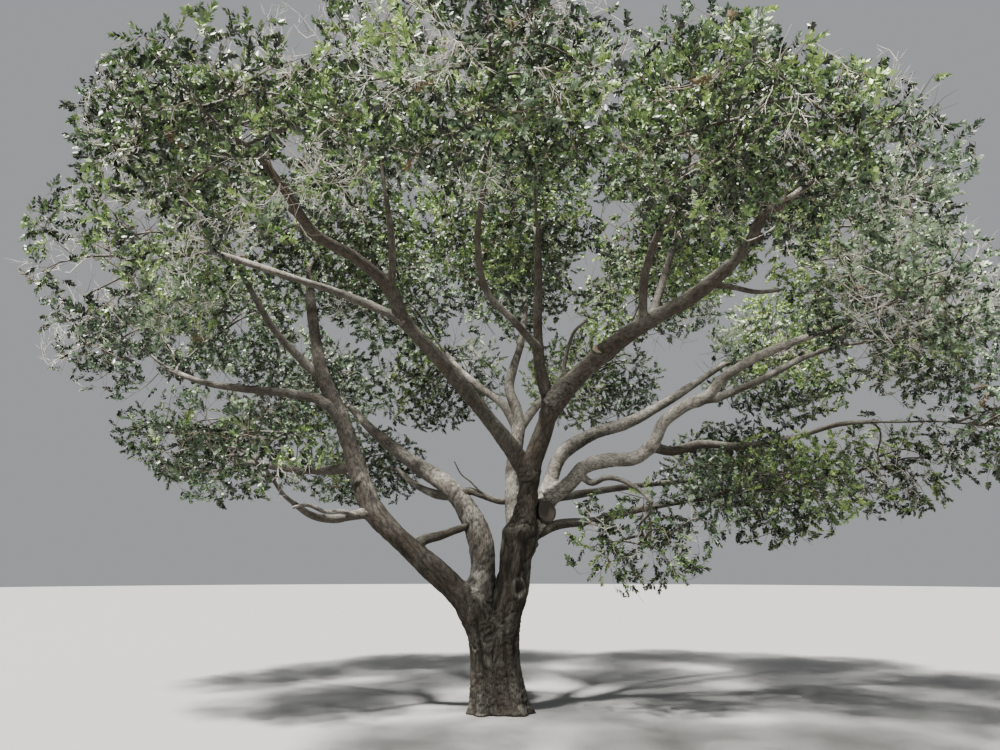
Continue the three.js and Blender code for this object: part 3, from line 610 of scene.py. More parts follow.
class OakCrownSettings(bpy.types.PropertyGroup):
    """Sizes and colours of the twigs and leaves."""

    branches: IntProperty(
        name="Branches", description="Side branches in a mass of usual size", default=40, min=1)
    shoots: IntProperty(
        name="Shoots", description="Shoots in a mass of usual size", default=210, min=1)
    sprays: IntProperty(
        name="Sprays", description="Sprays of leaves on each shoot", default=3, min=1)
    leaves: IntProperty(
        name="Leaves", description="Leaves in each spray", default=20, min=1)
    branch_length: FloatProperty(
        name="Branch length", description="Longest side branch", default=1.9, unit="LENGTH")
    shoot_length: FloatProperty(
        name="Shoot length", description="Longest shoot", default=0.85, unit="LENGTH")
    spray_length: FloatProperty(
        name="Spray length", description="Length of a spray", default=0.34, unit="LENGTH")
    leaf_length: FloatProperty(
        name="Leaf length", description="Length of a leaf, as a share of its spray",
        default=0.32, min=0.05)
    leaf_width: FloatProperty(
        name="Leaf width", description="Width of a leaf, as a share of its length",
        default=0.58, min=0.05)
    deep: FloatVectorProperty(
        name="Deep green", description="Leaves in shade",
        default=(0.008, 0.013, 0.006), size=3, subtype="COLOR")
    mid: FloatVectorProperty(
        name="Mid green", description="Most leaves",
        default=(0.054, 0.092, 0.046), size=3, subtype="COLOR")
    # Grey green: the dull side of leaves, and partly a painted sky reflection on lit leaves
    grey: FloatVectorProperty(
        name="Grey green", description="Leaves that turn their dull side out",
        default=(0.155, 0.222, 0.132), size=3, subtype="COLOR")
    fresh: FloatVectorProperty(
        name="Fresh green", description="Lush leaves in half shade",
        default=(0.057, 0.098, 0.034), size=3, subtype="COLOR")
    lime: FloatVectorProperty(
        name="Lime green", description="Lush leaves that catch the light",
        default=(0.3, 0.42, 0.13), size=3, subtype="COLOR")
    bright: FloatVectorProperty(
        name="Bright green", description="Young leaves in the sun",
        default=(0.145, 0.225, 0.075), size=3, subtype="COLOR")
    pale: FloatVectorProperty(
        name="Pale green", description="Leaves that catch the light",
        default=(0.43, 0.53, 0.355), size=3, subtype="COLOR")
    brown: FloatVectorProperty(
        name="Brown", description="Withered leaves",
        default=(0.14, 0.1, 0.05), size=3, subtype="COLOR")
    twig: FloatVectorProperty(
        name="Twig", description="Bark of live twigs",
        default=(0.12, 0.095, 0.07), size=3, subtype="COLOR")
    dead_twig: FloatVectorProperty(
        name="Dead twig", description="Bare grey twigs",
        default=(0.48, 0.45, 0.4), size=3, subtype="COLOR")


class OakStageSettings(bpy.types.PropertyGroup):
    """The studio round the tree."""

    floor: FloatVectorProperty(
        name="Floor", description="Floor and background", default=(0.26, 0.26, 0.255), size=3,
        subtype="COLOR")
    sun_strength: FloatProperty(name="Sun", description="Strength of the key light", default=20.0)
    sky_strength: FloatProperty(name="Sky", description="Strength of the soft light", default=0.38)


def unit(vectors):
    """Vectors made one long."""
    return vectors / np.maximum(np.linalg.norm(vectors, axis=-1, keepdims=True), 1e-9)


def across(directions):
    """Two directions square to each given one and to each other."""
    flat = np.abs(directions[..., 2:3]) < 0.9
    guide = np.where(flat, UP, np.array([1.0, 0.0, 0.0]))
    side = unit(np.cross(directions, guide))
    return side, np.cross(directions, side)


def seeded(seed):
    """Repeatable random numbers from 0 to 1, the same ones as the solids are grown with."""
    state = seed
    while True:
        state = (state + SEED_STEP) & WORD
        mix = ((state ^ (state >> 15)) * (state | 1)) & WORD
        mix ^= (mix + (((mix ^ (mix >> 7)) * (mix | 61)) & WORD)) & WORD
        yield ((mix ^ (mix >> 14)) & WORD) / (WORD + 1)


def cell_value(cell, seed):
    """A random number from -1 to 1 for each whole-numbered cell."""
    x, y, z = CELL_PRIMES
    mix = cell[..., 0] * x ^ cell[..., 1] * y ^ cell[..., 2] * z ^ seed * SEED_PRIME
    mix = (mix ^ (mix >> 13)) & WORD
    mix = (mix * STIR_PRIME) & WORD
    mix ^= mix >> 16
    return (mix & HALF_WORD) / (HALF_WORD / 2) - 1


def noise(points, seed):
    """Smooth noise from -1 to 1 at points, with features about one unit wide."""
    base = np.floor(points)
    part = points - base
    part = part * part * (3 - 2 * part)
    cell = base.astype(np.int64)
    total = np.zeros(points.shape[:-1])
    for corner in np.ndindex(2, 2, 2):
        step = np.array(corner)
        weight = np.prod(np.where(step, part, 1 - part), axis=-1)
        total += weight * cell_value(cell + step, seed)
    return total


def smooth_line(way, spacing):
    """Evenly spaced places on a centripetal curve through the given ones."""
    places = np.asarray(way, float)
    places = np.vstack([2 * places[0] - places[1], places, 2 * places[-1] - places[-2]])
    share = np.linspace(0, 1, CURVE_STEPS, endpoint=False)[:, None]
    parts = []
    for a, b, c, d in zip(places[:-3], places[1:-2], places[2:-1], places[3:]):
        before, here, after = (math.sqrt(np.linalg.norm(q - p)) for p, q in ((a, b), (b, c), (c, d)))
        leave = ((b - a) / before - (c - a) / (before + here) + (c - b) / here) * here
        arrive = ((c - b) / here - (d - b) / (here + after) + (d - c) / after) * here
        bend = -3 * b + 3 * c - 2 * leave - arrive
        twist = 2 * b - 2 * c + leave + arrive
        parts.append(b + leave * share + bend * share ** 2 + twist * share ** 3)
    dense = np.vstack([*parts, places[-2:-1]])
    along = np.concatenate([[0], np.cumsum(np.linalg.norm(np.diff(dense, axis=0), axis=1))])
    count = max(4, round(along[-1] / spacing))
    even = np.linspace(0, along[-1], count + 1)
    return np.stack([np.interp(even, along, column) for column in dense.T], axis=1)


def point_on(line, share):
    """The place at a share of an evenly spaced line."""
    spot = share * (len(line) - 1)
    low = min(int(spot), len(line) - 2)
    return line[low] + (line[low + 1] - line[low]) * (spot - low)


class Limb:
    """A tapering limb: the places along it, its radius at each, and how it ends."""

    def __init__(self, name, on, line, radius, end="round", collar=True):
        self.name = name
        self.on = on
        self.line = line
        self.radius = radius
        self.end = end
        self.collar = collar
        steps = np.linalg.norm(np.diff(line, axis=0), axis=1)
        self.along = np.concatenate([[0], np.cumsum(steps)])
        self.tangent = unit(np.gradient(line, axis=0))
        side = across(self.tangent[:1])[0][0]
        sides = [side]
        for direction in self.tangent[1:]:
            side = unit(side - direction * side.dot(direction))
            sides.append(side)
        self.side = np.array(sides)
        self.up = np.cross(self.tangent, self.side)

    def swelling(self, angle):
        """The uneven outline round the limb, as a share of its radius, for each ring and angle."""
        return OVAL * np.sin(2 * angle + self.along[:, None] / OVAL_TWIST + len(self.name))


class Stem(Limb):
    """One of the trunk's two stems, cut level at each ring, with flutes and buttresses."""

    def __init__(self, name, rings, buttress, spacing):
        places = smooth_line(rings, spacing)
        places[0, 2] = 0.0
        super().__init__(name, "", places[:, :3], places[:, 3])
        self.buttress = buttress
        self.side = np.tile([1.0, 0.0, 0.0], (len(places), 1))
        self.up = np.tile([0.0, 1.0, 0.0], (len(places), 1))

    def swelling(self, angle):
        """The flutes round the stem and the buttresses at its foot, in the same way."""
        height = self.line[:, 2:3]
        flutes = 1 + FLUTE_DEPTH * np.cos(FLUTES * angle + height / FLUTE_TWIST)
        lobe = np.cos(FLARE_BUTTRESSES * angle / 2 + self.buttress) ** 2
        spread = FLARE_SPREAD * (1 - FLARE_LOBES + FLARE_LOBES * lobe)
        return flutes * (1 + np.exp(-height / FLARE_HEIGHT) * spread) - 1


def ring_spacing(radius):
    """Distance between the rings of a limb of that radius."""
    return min(WIDEST_RINGS, max(CLOSEST_RINGS, RINGS_PER_RADIUS * radius))


def limb_from(name, on, foot, tip, way, swell):
    """A tapering limb through a few places, swollen where it leaves what it stands on."""
    line = smooth_line(way, ring_spacing((foot + tip) / 2))
    share = np.linspace(0, 1, len(line))
    length = np.linalg.norm(np.diff(line, axis=0), axis=1).sum()
    taper = tip + (foot - tip) * (1 - share) ** TAPER_POWER
    collar = 1 + swell * np.exp(-share * length / (COLLAR_REACH * foot))
    return Limb(name, on, line, taper * collar, collar=swell > 0)


def stub_from(name, on, foot, toward, length, radius):
    """A pruned side limb that narrows from its foot and has a callused lip at its cut."""
    share = np.linspace(0, 1, STUB_RINGS)
    line = foot + np.linspace(0, length, STUB_RINGS)[:, None] * unit(np.array(toward))
    width = radius * (1 + STUB_FLARE - STUB_FLARE * share)
    width += radius * STUB_LIP * np.exp(-((share - STUB_LIP_PLACE) / STUB_LIP_WIDTH) ** 2)
    return Limb(name, on, line, width, end="cut")


@lru_cache(maxsize=None)
def trunk_stems():
    """The two stems that have grown together, left and right."""
    return (
        Stem("left_stem", LEFT_STEM, LEFT_BUTTRESS, STEM_RING_SPACING),
        Stem("right_stem", RIGHT_STEM, RIGHT_BUTTRESS, STEM_RING_SPACING),
    )


@lru_cache(maxsize=None)
def boughs():
    """Every limb above the trunk by name, with its stubs under names of their own."""
    grown = {}
    for name, on, foot, tip, way in LIMBS + SMALL_LIMBS:
        swell = 0.0 if name in CARRIES_ON else COLLAR_SWELL
        grown[name] = limb_from(name, on, foot, tip, way, swell)
    for index, (on, share, toward, length, radius) in enumerate(STUBS):
        foot = point_on(grown[on].line, share)
        name = f"{on}_stub{index}"
        grown[name] = stub_from(name, on, foot, toward, length, radius)
    return grown


class Space:
    """The space of a mass: an ellipsoid, less what lies nearer to another mass."""

    def __init__(self, index):
        self.name, self.on, centre, half = MASSES[index]
        self.centre = np.array(centre, float)
        self.half = np.array(half, float)
        self.size = self.half.mean()
        others = [m for i, m in enumerate(MASSES) if i != index]
        away = np.array([m[2] for m in others]) - self.centre
        distance = np.linalg.norm(away, axis=1)
        sizes = np.array([np.mean(m[3]) for m in others])
        self.reach = (distance ** 2 + self.size ** 2 - sizes ** 2) / (2 * distance) - SPACE_MARGIN
        self.away = away / distance[:, None]

    def holds(self, points, slack=0.0):
        """Which points lie in the space, or past its planes by no more than the slack."""
        offset = points - self.centre
        inside = ((offset / self.half) ** 2).sum(-1) <= 1
        return inside & (offset @ self.away.T < self.reach + slack).all(-1)

    def volume_share(self):
        """How large the space is beside the usual one."""
        spots = ((np.arange(VOLUME_SAMPLES)[:, None] * EVEN_STEPS) % 1) * 2 - 1
        held = self.holds(self.centre + spots * self.half).mean()
        return held * 8 * self.half.prod() / USUAL_VOLUME


def wood_near(space):
    """Places and radii along the limbs that pass near a space."""
    limbs = [*trunk_stems(), *boughs().values()]
    places = np.vstack([limb.line for limb in limbs])
    radii = np.concatenate([limb.radius for limb in limbs])
    near = np.linalg.norm(places - space.centre, axis=1) < space.half.max() + WOOD_REACH
    return places[near], radii[near]


def clear_of(points, wood, margin):
    """Which points stay outside the wood by a margin."""
    places, radii = wood
    if not len(places):
        return np.ones(len(points), bool)
    gap = np.linalg.norm(points[:, None] - places[None], axis=2) - radii
    return gap.min(1) > margin


def mass_stem(space):
    """The one stem of a mass: from its bough's tip through the middle of the space and outwards."""
    shared = sum(m[1] == space.on for m in MASSES) > 1
    _, _, _, tip_radius, way = next(limb for limb in LIMBS if limb[0] == space.on)
    tip = np.array(way[-1], float)
    back = unit(np.array(way[-2], float) - tip)
    side = space.centre - tip
    side = unit(side - back * side.dot(back)) * (tip_radius * SHARED_SHIFT if shared else 0)
    inside = tip + back * tip_radius * STEM_SINK + side
    start = (tip + side) + (space.centre - tip - side) * STEM_START
    outward = unit(space.centre - CROWN_HEART)
    end = space.centre + outward * STEM_END * space.half.min()
    line = smooth_line([inside, start, space.centre, end], STEM_RINGS)
    foot = tip_radius * (SHARED_FOOT if shared else SINGLE_FOOT)
    radius = foot + (STEM_TIP - foot) * np.linspace(0, 1, len(line))
    wander = STEM_WANDER * np.sin(np.linspace(0, 1, len(line)) * math.pi)[:, None]
    side_way, up_way = across(unit(np.gradient(line, axis=0)))
    ripple = np.linspace(0, STEM_RIPPLE, len(line))[:, None]
    line = line + wander * (side_way * np.sin(ripple) + up_way * np.cos(ripple * 0.8))
    return Limb(f"{space.name}_stem", space.on, line, radius, collar=False)


def mass_twigs(space, stem, seed):
    """The few main twigs of a mass, each bowed a little, by the rule that the solids follow."""
    random = seeded(seed)
    twigs = []
    for i in range(TWIG_COUNT):
        root = point_on(stem.line, TWIG_FROM + TWIG_SPAN * (i + 0.5) / TWIG_COUNT)
        turn = i * GOLDEN_ANGLE + next(random) * TWIG_TURN
        lift = TWIG_LIFT - 2 * TWIG_LIFT * ((i * GOLDEN_SHARE + 0.2) % 1)
        level = math.sqrt(1 - lift * lift)
        way = np.array([level * math.cos(turn), level * math.sin(turn), lift])
        tip = space.centre + way * space.half * TWIG_REACH
        for _ in range(TWIG_TRIES):
            if space.holds(tip):
                break
            tip = root + (tip - root) * TWIG_SHORTENING
        reach = np.linalg.norm(tip - root)
        if reach < SHORTEST_TWIG:
            continue
        middle = (root + tip) / 2 + reach * TWIG_BOW * across(unit(tip - root)[None])[0][0]
        middle = middle + UP * reach * TWIG_RISE
        line = smooth_line([root, middle, tip], TWIG_RINGS)
        radius = TWIG_FOOT + (TWIG_TIP - TWIG_FOOT) * np.linspace(0, 1, len(line))
        twigs.append(Limb(f"{space.name}_twig{i}", stem.name, line, radius))
    return twigs


def spread_points(space, count, zone, rng):
    """Points spread evenly in a space, between two shares of the way to its edge."""
    low, high = zone
    found = []
    order = 0
    shift = rng.random(3)
    while len(found) < count and order < 40 * count:
        step = np.arange(order, order + 4 * count)[:, None]
        spots = ((step * EVEN_STEPS + shift) % 1) * 2 - 1
        order += 4 * count
        share = np.linalg.norm(spots, axis=1)
        spots = space.centre + spots[(share < high) & (share > low)] * space.half
        found.extend(spots[space.holds(spots)])
    return np.array(found[:count]).reshape(-1, 3)


def bent_line(root, tip, tangent, sag, steps, rng):
    """A line that leaves partly along its parent, bows and sags a little."""
    reach = np.linalg.norm(tip - root)
    middle = (root + tip) / 2 + tangent * BEND_LEAVE * reach
    middle = middle + rng.normal(0, BEND_STRAY, 3) * reach
    middle = middle + UP * sag * reach
    t = np.linspace(0, 1, steps)[:, None]
    return (1 - t) ** 2 * root + 2 * t * (1 - t) * middle + t ** 2 * tip


def grow_towards(targets, nodes, ways, longest, steps, sag, rng):
    """Lines from the wood that is nearest and best placed to each target, nearest targets first.

    Each line's own places become wood that later lines may start from.
    """
    gap = np.linalg.norm(targets[:, None] - nodes[None], axis=2).min(1)
    lines = []
    for target in targets[np.argsort(gap)]:
        away = target - nodes
        distance = np.linalg.norm(away, axis=1)
        along = (away * ways).sum(1) / np.maximum(distance, 1e-6)
        cost = distance * (SIDEWAYS_COST - ALONG_GAIN * along)
        cost += np.where(distance < LEAST_STEP, TOO_CLOSE_COST, 0)
        best = cost.argmin()
        reach = distance[best]
        if reach < SHORTEST_GROWTH:
            continue
        tip = nodes[best] + away[best] * min(1.0, longest / reach)
        line = bent_line(nodes[best], tip, ways[best], sag, steps, rng)
        lines.append(line)
        nodes = np.vstack([nodes, line[2:]])
        ways = np.vstack([ways, unit(line[2:] - line[1:-1])])
    return np.array(lines).reshape(-1, steps, 3)


def near_wood(lines, wood):
    """Which lines end inside a limb's skin or too near it."""
    return ~clear_of(lines[:, -1], wood, LIMB_MARGIN)


@lru_cache(maxsize=None)
def sight_lines():
    """Directions, distances and widths of the lines of sight that few leaves stand in."""
    places, widths = [], []
    for name, share in SHOWN_LIMBS.items():
        limb = boughs()[name]
        shown = max(2, round(len(limb.line) * share))
        places.append(limb.line[:shown])
        widths.append(limb.radius[:shown] + SHOWN_MARGIN)
    beyond = [((x, 0.0, z), radius) for x, z, radius in SKY_GAPS]
    away = np.array([place for place, _ in beyond]) - CAMERA_PLACE
    ways = np.vstack([np.vstack(places) - CAMERA_PLACE, away])
    reach = np.linalg.norm(ways, axis=1)
    width = np.concatenate([*widths, [radius for _, radius in beyond]]) / reach
    reach[-len(beyond):] = np.inf
    return unit(ways), reach, width


def in_the_way(places, rng):
    """Which places stand before a limb that shows or in an opening, but for a few strays."""
    ways, reach, width = sight_lines()
    away = places - CAMERA_PLACE
    along = away @ ways.T
    off = np.sqrt(np.maximum((away ** 2).sum(1)[:, None] - along ** 2, 0))
    ragged = 1 + RAGGEDNESS * noise(places * RAGGED_PATCHES, SIGHT_SEED)[:, None]
    hides = (off / along < width * ragged) & (along < reach - SHOWN_MARGIN)
    return hides.any(1) & (rng.random(len(places)) > STRAY_SHARE)


class Mass:
    """Everything that grows in one mass: its stem, main twigs, finer twigs and spray roots."""

    def __init__(self, index, crown):
        self.space = Space(index)
        self.name = self.space.name
        self.hang = HANGING.get(self.name, USUAL_HANG)
        self.stem = mass_stem(self.space)
        seed = MASS_SEED + index * MASS_SEED_STEP
        self.twigs = mass_twigs(self.space, self.stem, seed)
        rng = np.random.default_rng(seed)
        wood = wood_near(self.space)
        share = self.space.volume_share()
        self.branches = self.grow_branches(round(crown.branches * share), crown, wood, rng)
        self.branch_dead = self.dead_branches(rng)
        self.shoots = self.grow_shoots(round(crown.shoots * share), crown, wood, rng)
        self.shoot_dead = self.branch_dead[self.branch_of_shoots()]
        self.sprays, host = self.spray_roots(crown, wood, rng)
        self.spray_dead = self.shoot_dead[host]
        self.tint = self.leaf_tints(host, rng)

    def grow_branches(self, count, crown, wood, rng):
        """Side branches from the outer half of the stem and from the main twigs."""
        outer = self.stem.line[len(self.stem.line) // 2:]
        nodes = np.vstack([outer, *(twig.line[2:] for twig in self.twigs)])
        ways = [unit(np.gradient(outer, axis=0))]
        ways += [unit(np.gradient(twig.line, axis=0))[2:] for twig in self.twigs]
        targets = spread_points(self.space, count, BRANCH_ZONE, rng)
        branches = grow_towards(targets, nodes, np.vstack(ways), crown.branch_length,
                                BRANCH_POINTS, -BRANCH_SAG * self.hang, rng)
        return branches[~near_wood(branches, wood)]

    def dead_branches(self, rng):
        """Which side branches bear no leaves; they come in groups."""
        patch = noise(self.branches[:, -1] * DEAD_PATCHES, DEAD_SEED) * 0.5 + 0.5
        share = DEAD_SHARE.get(self.name, USUAL_DEAD_SHARE)
        return rng.random(len(self.branches)) < share * 2 * patch

    def grow_shoots(self, count, crown, wood, rng):
        """Shoots from the side branches, which reach lower where the mass hangs."""
        nodes = self.branches[:, 1:].reshape(-1, 3)
        ways = unit(np.diff(self.branches, axis=1)).reshape(-1, 3)
        targets = spread_points(self.space, count, SHOOT_ZONE, rng) - UP * SHOOT_DROP * self.hang
        shoots = grow_towards(targets, nodes, ways, crown.shoot_length, SHOOT_POINTS, 0.0, rng)
        return shoots[~near_wood(shoots, wood)]

    def branch_of_shoots(self):
        """Which side branch each shoot stands nearest to."""
        places = self.branches[:, 2:].reshape(1, -1, 3)
        nearest = np.linalg.norm(self.shoots[:, :1] - places, axis=2).argmin(1)
        return nearest // (self.branches.shape[1] - 2)

    def spray_roots(self, crown, wood, rng):
        """Where sprays stand on shoots and where each one points, and which shoot it stands on."""
        n, count = len(self.shoots), crown.sprays
        order = np.arange(count)
        share = SPRAY_FROM + SPRAY_SPAN * (order + 0.9 + 0.1 * rng.random((n, count))) / count
        spot = np.clip(share, 0, 0.9999) * (SHOOT_POINTS - 1)
        low = spot.astype(int)
        row = np.arange(n)[:, None]
        a, b = self.shoots[row, low], self.shoots[row, low + 1]
        root, tangent = a + (b - a) * (spot - low)[..., None], unit(b - a)
        side, up = across(tangent)
        turn = order * GOLDEN_ANGLE + rng.random((n, 1)) * 2 * math.pi
        lean = np.where(order == count - 1, END_LEAN, SIDE_LEAN) * (0.7 + 0.6 * rng.random((n, count)))
        around = np.cos(turn)[..., None] * side + np.sin(turn)[..., None] * up
        aim = np.cos(lean)[..., None] * tangent + np.sin(lean)[..., None] * around
        aim = unit(aim + UP * (SPRAY_RISE - SPRAY_HANG * self.hang)).reshape(-1, 3)
        root = root.reshape(-1, 3)
        host = np.repeat(np.arange(n), count)
        size = crown.spray_length * (0.8 + 0.4 * rng.random(n * count))
        tip = root + aim * size[:, None] * SPRAY_REACH
        keep = self.space.holds(tip, SPRAY_OVERLAP)
        keep &= ~in_the_way(root + aim * size[:, None] * SPRAY_MIDDLE, rng)
        keep &= clear_of(root + aim * size[:, None], wood, SPRAY_MARGIN)
        roll = rng.random(n * count) * 2 * math.pi
        shape = rng.integers(0, SPRIG_SHAPES, n * count)
        made = {"root": root, "aim": aim, "size": size, "roll": roll, "shape": shape}
        return {key: values[keep] for key, values in made.items()}, host[keep]

    def light(self, places):
        """How much light leaves catch: more at the top of a mass and of the crown, in patches."""
        offset = (places - self.space.centre) / self.space.half
        height = (places[:, 2] - CROWN_MIDDLE) / CROWN_RISE
        patch = sum(strength * noise(places * scale, seed) for strength, scale, seed in LIGHT_PATCHES)
        return MASS_LIGHT * offset[:, 2] + CROWN_LIGHT * height + patch + USUAL_LIGHT

    def leaf_tints(self, host, rng):
        """A tint number for each spray, by its light and lushness, much the same on one shoot."""
        roots = self.sprays["root"]
        light = self.light(roots) + rng.normal(0, SHOOT_STRAY, len(self.shoots))[host]
        light += rng.normal(0, SPRAY_STRAY, len(host))
        tint = np.digitize(light, TINT_LIGHTS)
        lush = noise(roots * LUSH_PATCHES, LUSH_SEED)
        lush = lush + rng.normal(0, LUSH_STRAY, len(self.shoots))[host]
        tint[lush > LUSH_FROM] += LUSH_TINT
        tint[rng.random(len(host)) < BROWN_SHARE] = BROWN_TINT
        return tint


@lru_cache(maxsize=None)
def crown_masses():
    """Every mass, grown once."""
    crown = bpy.context.scene.oak_crown
    return tuple(Mass(index, crown) for index in range(len(MASSES)))


def new_mesh(name, points, faces):
    """A mesh from an array of points and arrays of faces, each array for faces of one size."""
    mesh = bpy.data.meshes.new(name)
    corners = np.concatenate([part.reshape(-1) for part in faces]).astype(np.int32)
    sizes = np.concatenate([np.full(len(part), part.shape[1]) for part in faces])
    starts = np.concatenate([[0], np.cumsum(sizes)[:-1]]).astype(np.int32)
    mesh.vertices.add(len(points))
    mesh.vertices.foreach_set("co", points.astype(np.float32).reshape(-1))
    mesh.loops.add(len(corners))
    mesh.loops.foreach_set("vertex_index", corners)
    mesh.polygons.add(len(sizes))
    mesh.polygons.foreach_set("loop_start", starts)
    mesh.update(calc_edges=True)
    mesh.shade_smooth()
    return mesh


def add_attribute(mesh, name, kind, values):
    """A number or a direction stored on each point of a mesh."""
    attribute = mesh.attributes.new(name, kind, "POINT")
    field = "vector" if kind == "FLOAT_VECTOR" else "value"
    attribute.data.foreach_set(field, np.ascontiguousarray(values).reshape(-1))


def new_object(name, mesh):
    """A mesh as an object of the scene, at the origin."""
    piece = bpy.data.objects.new(name, mesh)
    bpy.context.scene.collection.objects.link(piece)
    return piece


def dress(piece, nodes):
    """The piece rides on the tree and stands for those nodes."""
    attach(piece, BODY)
    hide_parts(*nodes)


def bark_relief(grain, radius, bark):
    """Height of the bark and how deep down its furrows each place is, which also sets the painted shade
    there, from straightened-limb places.
    """
    scale = np.clip(radius / FULL_BARK_RADIUS, 0.05, 1)
    spacing = bark.furrow_spacing * (0.35 + 0.65 * scale)[..., None]
    cell = np.array([1.0, 1.0, 1 / bark.furrow_stretch]) / spacing
    a, b, c = WARP_SEEDS
    warp = np.stack([noise(grain * 3.1 + 7, a), noise(grain * 3.1 + 19, b), noise(grain * 2.3, c)], -1)
    plates = noise(grain * cell + warp * 0.6, PLATE_SEED)
    furrow = np.clip(1 - np.abs(plates) * FURROW_SHARPNESS, 0, 1)
    side_plates = noise(grain * cell * 2.1 + warp + 40, SIDE_PLATE_SEED)
    side_furrow = np.clip(1 - np.abs(side_plates) * SIDE_FURROW_SHARPNESS, 0, 1)
    broad, fine = LUMP_SEEDS
    lumps = noise(grain * LUMP_SCALE + 5, broad) + 0.5 * noise(grain * 5.1, fine)
    grit = noise(grain * GRIT_SCALE, GRIT_SEED)
    depth = bark.furrow_depth * scale ** 1.25
    height = -depth * (furrow ** 1.3 + 0.4 * side_furrow * (1 - furrow)) + depth * 0.16 * grit
    height += bark.lump_height * radius * lumps * 0.5
    return height, np.maximum(furrow, 0.75 * side_furrow) * np.clip(scale * 1.3, 0.25, 1)


def meeting(points, radius, limb, others):
    """How skin swells where a limb grows from another one, and sinks where two merely touch.

    Gives the height to add and how strong the painted shade in the crease is.
    """
    rise = np.zeros(len(points))
    crease = np.zeros(len(points))
    low, high = points.min(0), points.max(0)
    for other in others:
        if other is limb or carries_on(limb, other):
            continue
        margin = other.radius.max() * MEETING_MARGIN
        near = ((other.line > low - margin) & (other.line < high + margin)).all(1)
        if not near.any():
            continue
        line, thick = other.line[near], other.radius[near]
        inside = ((points > line.min(0) - margin) & (points < line.max(0) + margin)).all(1)
        if not inside.any():
            continue
        gap = np.linalg.norm(points[inside, None] - line[None], axis=2) - thick
        nearest = gap.argmin(1)
        gap = np.abs(gap[np.arange(len(gap)), nearest])
        if isinstance(limb, Stem) and isinstance(other, Stem):
            swell = STEM_RISE * np.clip(1 - gap / STEM_REACH, 0, 1) ** 2
            rise[inside] = np.maximum(rise[inside], swell)
            # Painted shade along the line between the two stems
            line_mark = STEM_CREASE * np.clip(1 - gap / STEM_CREASE_WIDTH, 0, 1)
            crease[inside] = np.maximum(crease[inside], line_mark)
        elif (other.name, limb.name) in PASSES_INTO:
            continue
        elif grows_from(limb, other) or grows_from(other, limb):
            reach = FILLET_REACH * np.minimum(radius[inside], thick[nearest])
            swell = FILLET_RISE * reach * np.clip(1 - gap / reach, 0, 1) ** 2
            rise[inside] = np.maximum(rise[inside], swell)
        else:
            # Painted shade in the crease where two limbs touch
            width = CREASE_WIDTH * min(1.0, thick.max() / FULL_CREASE_RADIUS)
            crease[inside] = np.maximum(crease[inside], np.clip(1 - gap / width, 0, 1))
    depth = CREASE_DEPTH * np.minimum(1, radius / FULL_CREASE_RADIUS)
    return rise * (1 - crease) - depth * crease ** 1.5, crease


def grows_from(limb, other):
    """Whether a limb grows from another one, or from that stem of the trunk."""
    if limb.on == "trunk" and isinstance(other, Stem):
        return (limb.name, other.name) not in TOUCHING
    return limb.on == other.name


def carries_on(limb, other):
    """Whether one of two limbs is the other one's end, with no swelling between them."""
    return (limb.on == other.name and not limb.collar) or (other.on == limb.name and not other.collar)


def bump_relief(x, z, wide):
    """A swelling under the bark."""
    dome = np.exp(-(x ** 2 + z ** 2))
    # The dome is paler with painted light
    return 0.55 * wide * dome, 0, 0.2 * dome


def fold_relief(x, z, wide):
    """A sagging fold with a lip above and below it."""
    crease = z + 0.7 * x ** 2 - 0.2
    fade = np.exp(-(x / 0.9) ** 4) * np.exp(-(z / 1.4) ** 4)
    lips = sum(rise * np.exp(-((crease - place) / FOLD_LIP_WIDTH) ** 2) for rise, place in FOLD_LIPS)
    hollow = np.exp(-(crease / FOLD_HOLLOW_WIDTH) ** 2)
    # Painted shade in the hollow, painted light on the lips
    return fade * (lips - FOLD_DEPTH * hollow), fade * hollow, 0.3 * fade * (1 - hollow)


def swirl_relief(x, z, wide):
    """A healed knot: a hollow, swirls and a rim round it, and a groove round that."""
    ring = np.hypot(x, z)
    rim = np.exp(-((ring - 0.8) / 0.24) ** 2)
    swirls = np.cos(ring * 15 + np.arctan2(z, x) * 0.7) * np.exp(-(ring / 0.8) ** 4)
    hollow = np.exp(-((x / 0.17) ** 2 + (z / 0.4) ** 2))
    groove = np.exp(-((ring - 1.15) / 0.13) ** 2)
    height = wide * (0.36 * rim + 0.07 * swirls - 0.6 * hollow - 0.14 * groove)
    # Painted shade in the hollow, in the swirls' troughs and in the groove round it; painted light on the
    # rim
    dark = np.maximum.reduce([hollow, 0.55 * np.clip(-swirls, 0, 1), 0.75 * groove])
    return height, dark, 0.75 * rim


KNOT_RELIEFS = {"bump": bump_relief, "fold": fold_relief, "swirl": swirl_relief}


def knot_relief(points, middle):
    """Height, painted shade and painted light that knots and folds add to the skin round a middle line:
    shade in hollows and grooves, light on rims, lips and domes.
    """
    height = np.zeros(len(points))
    dark = np.zeros(len(points))
    pale = np.zeros(len(points))
    for kind, place, wide, tall in KNOTS:
        place = np.array(place)
        outward = place - middle[np.argmin(np.linalg.norm(middle - place, axis=1))]
        outward[2] = 0
        outward = unit(outward)
        offset = points - place
        facing = np.abs(offset @ outward) < KNOT_THICKNESS
        x, z = offset @ np.cross(UP, outward) / wide, offset[:, 2] / tall
        add, shade, light = KNOT_RELIEFS[kind](x, z, wide)
        height += np.where(facing, add, 0)
        dark = np.maximum(dark, np.where(facing & (np.hypot(x, z) < KNOT_REACH), shade, 0))
        pale += np.where(facing, light, 0)
    return height, dark, pale


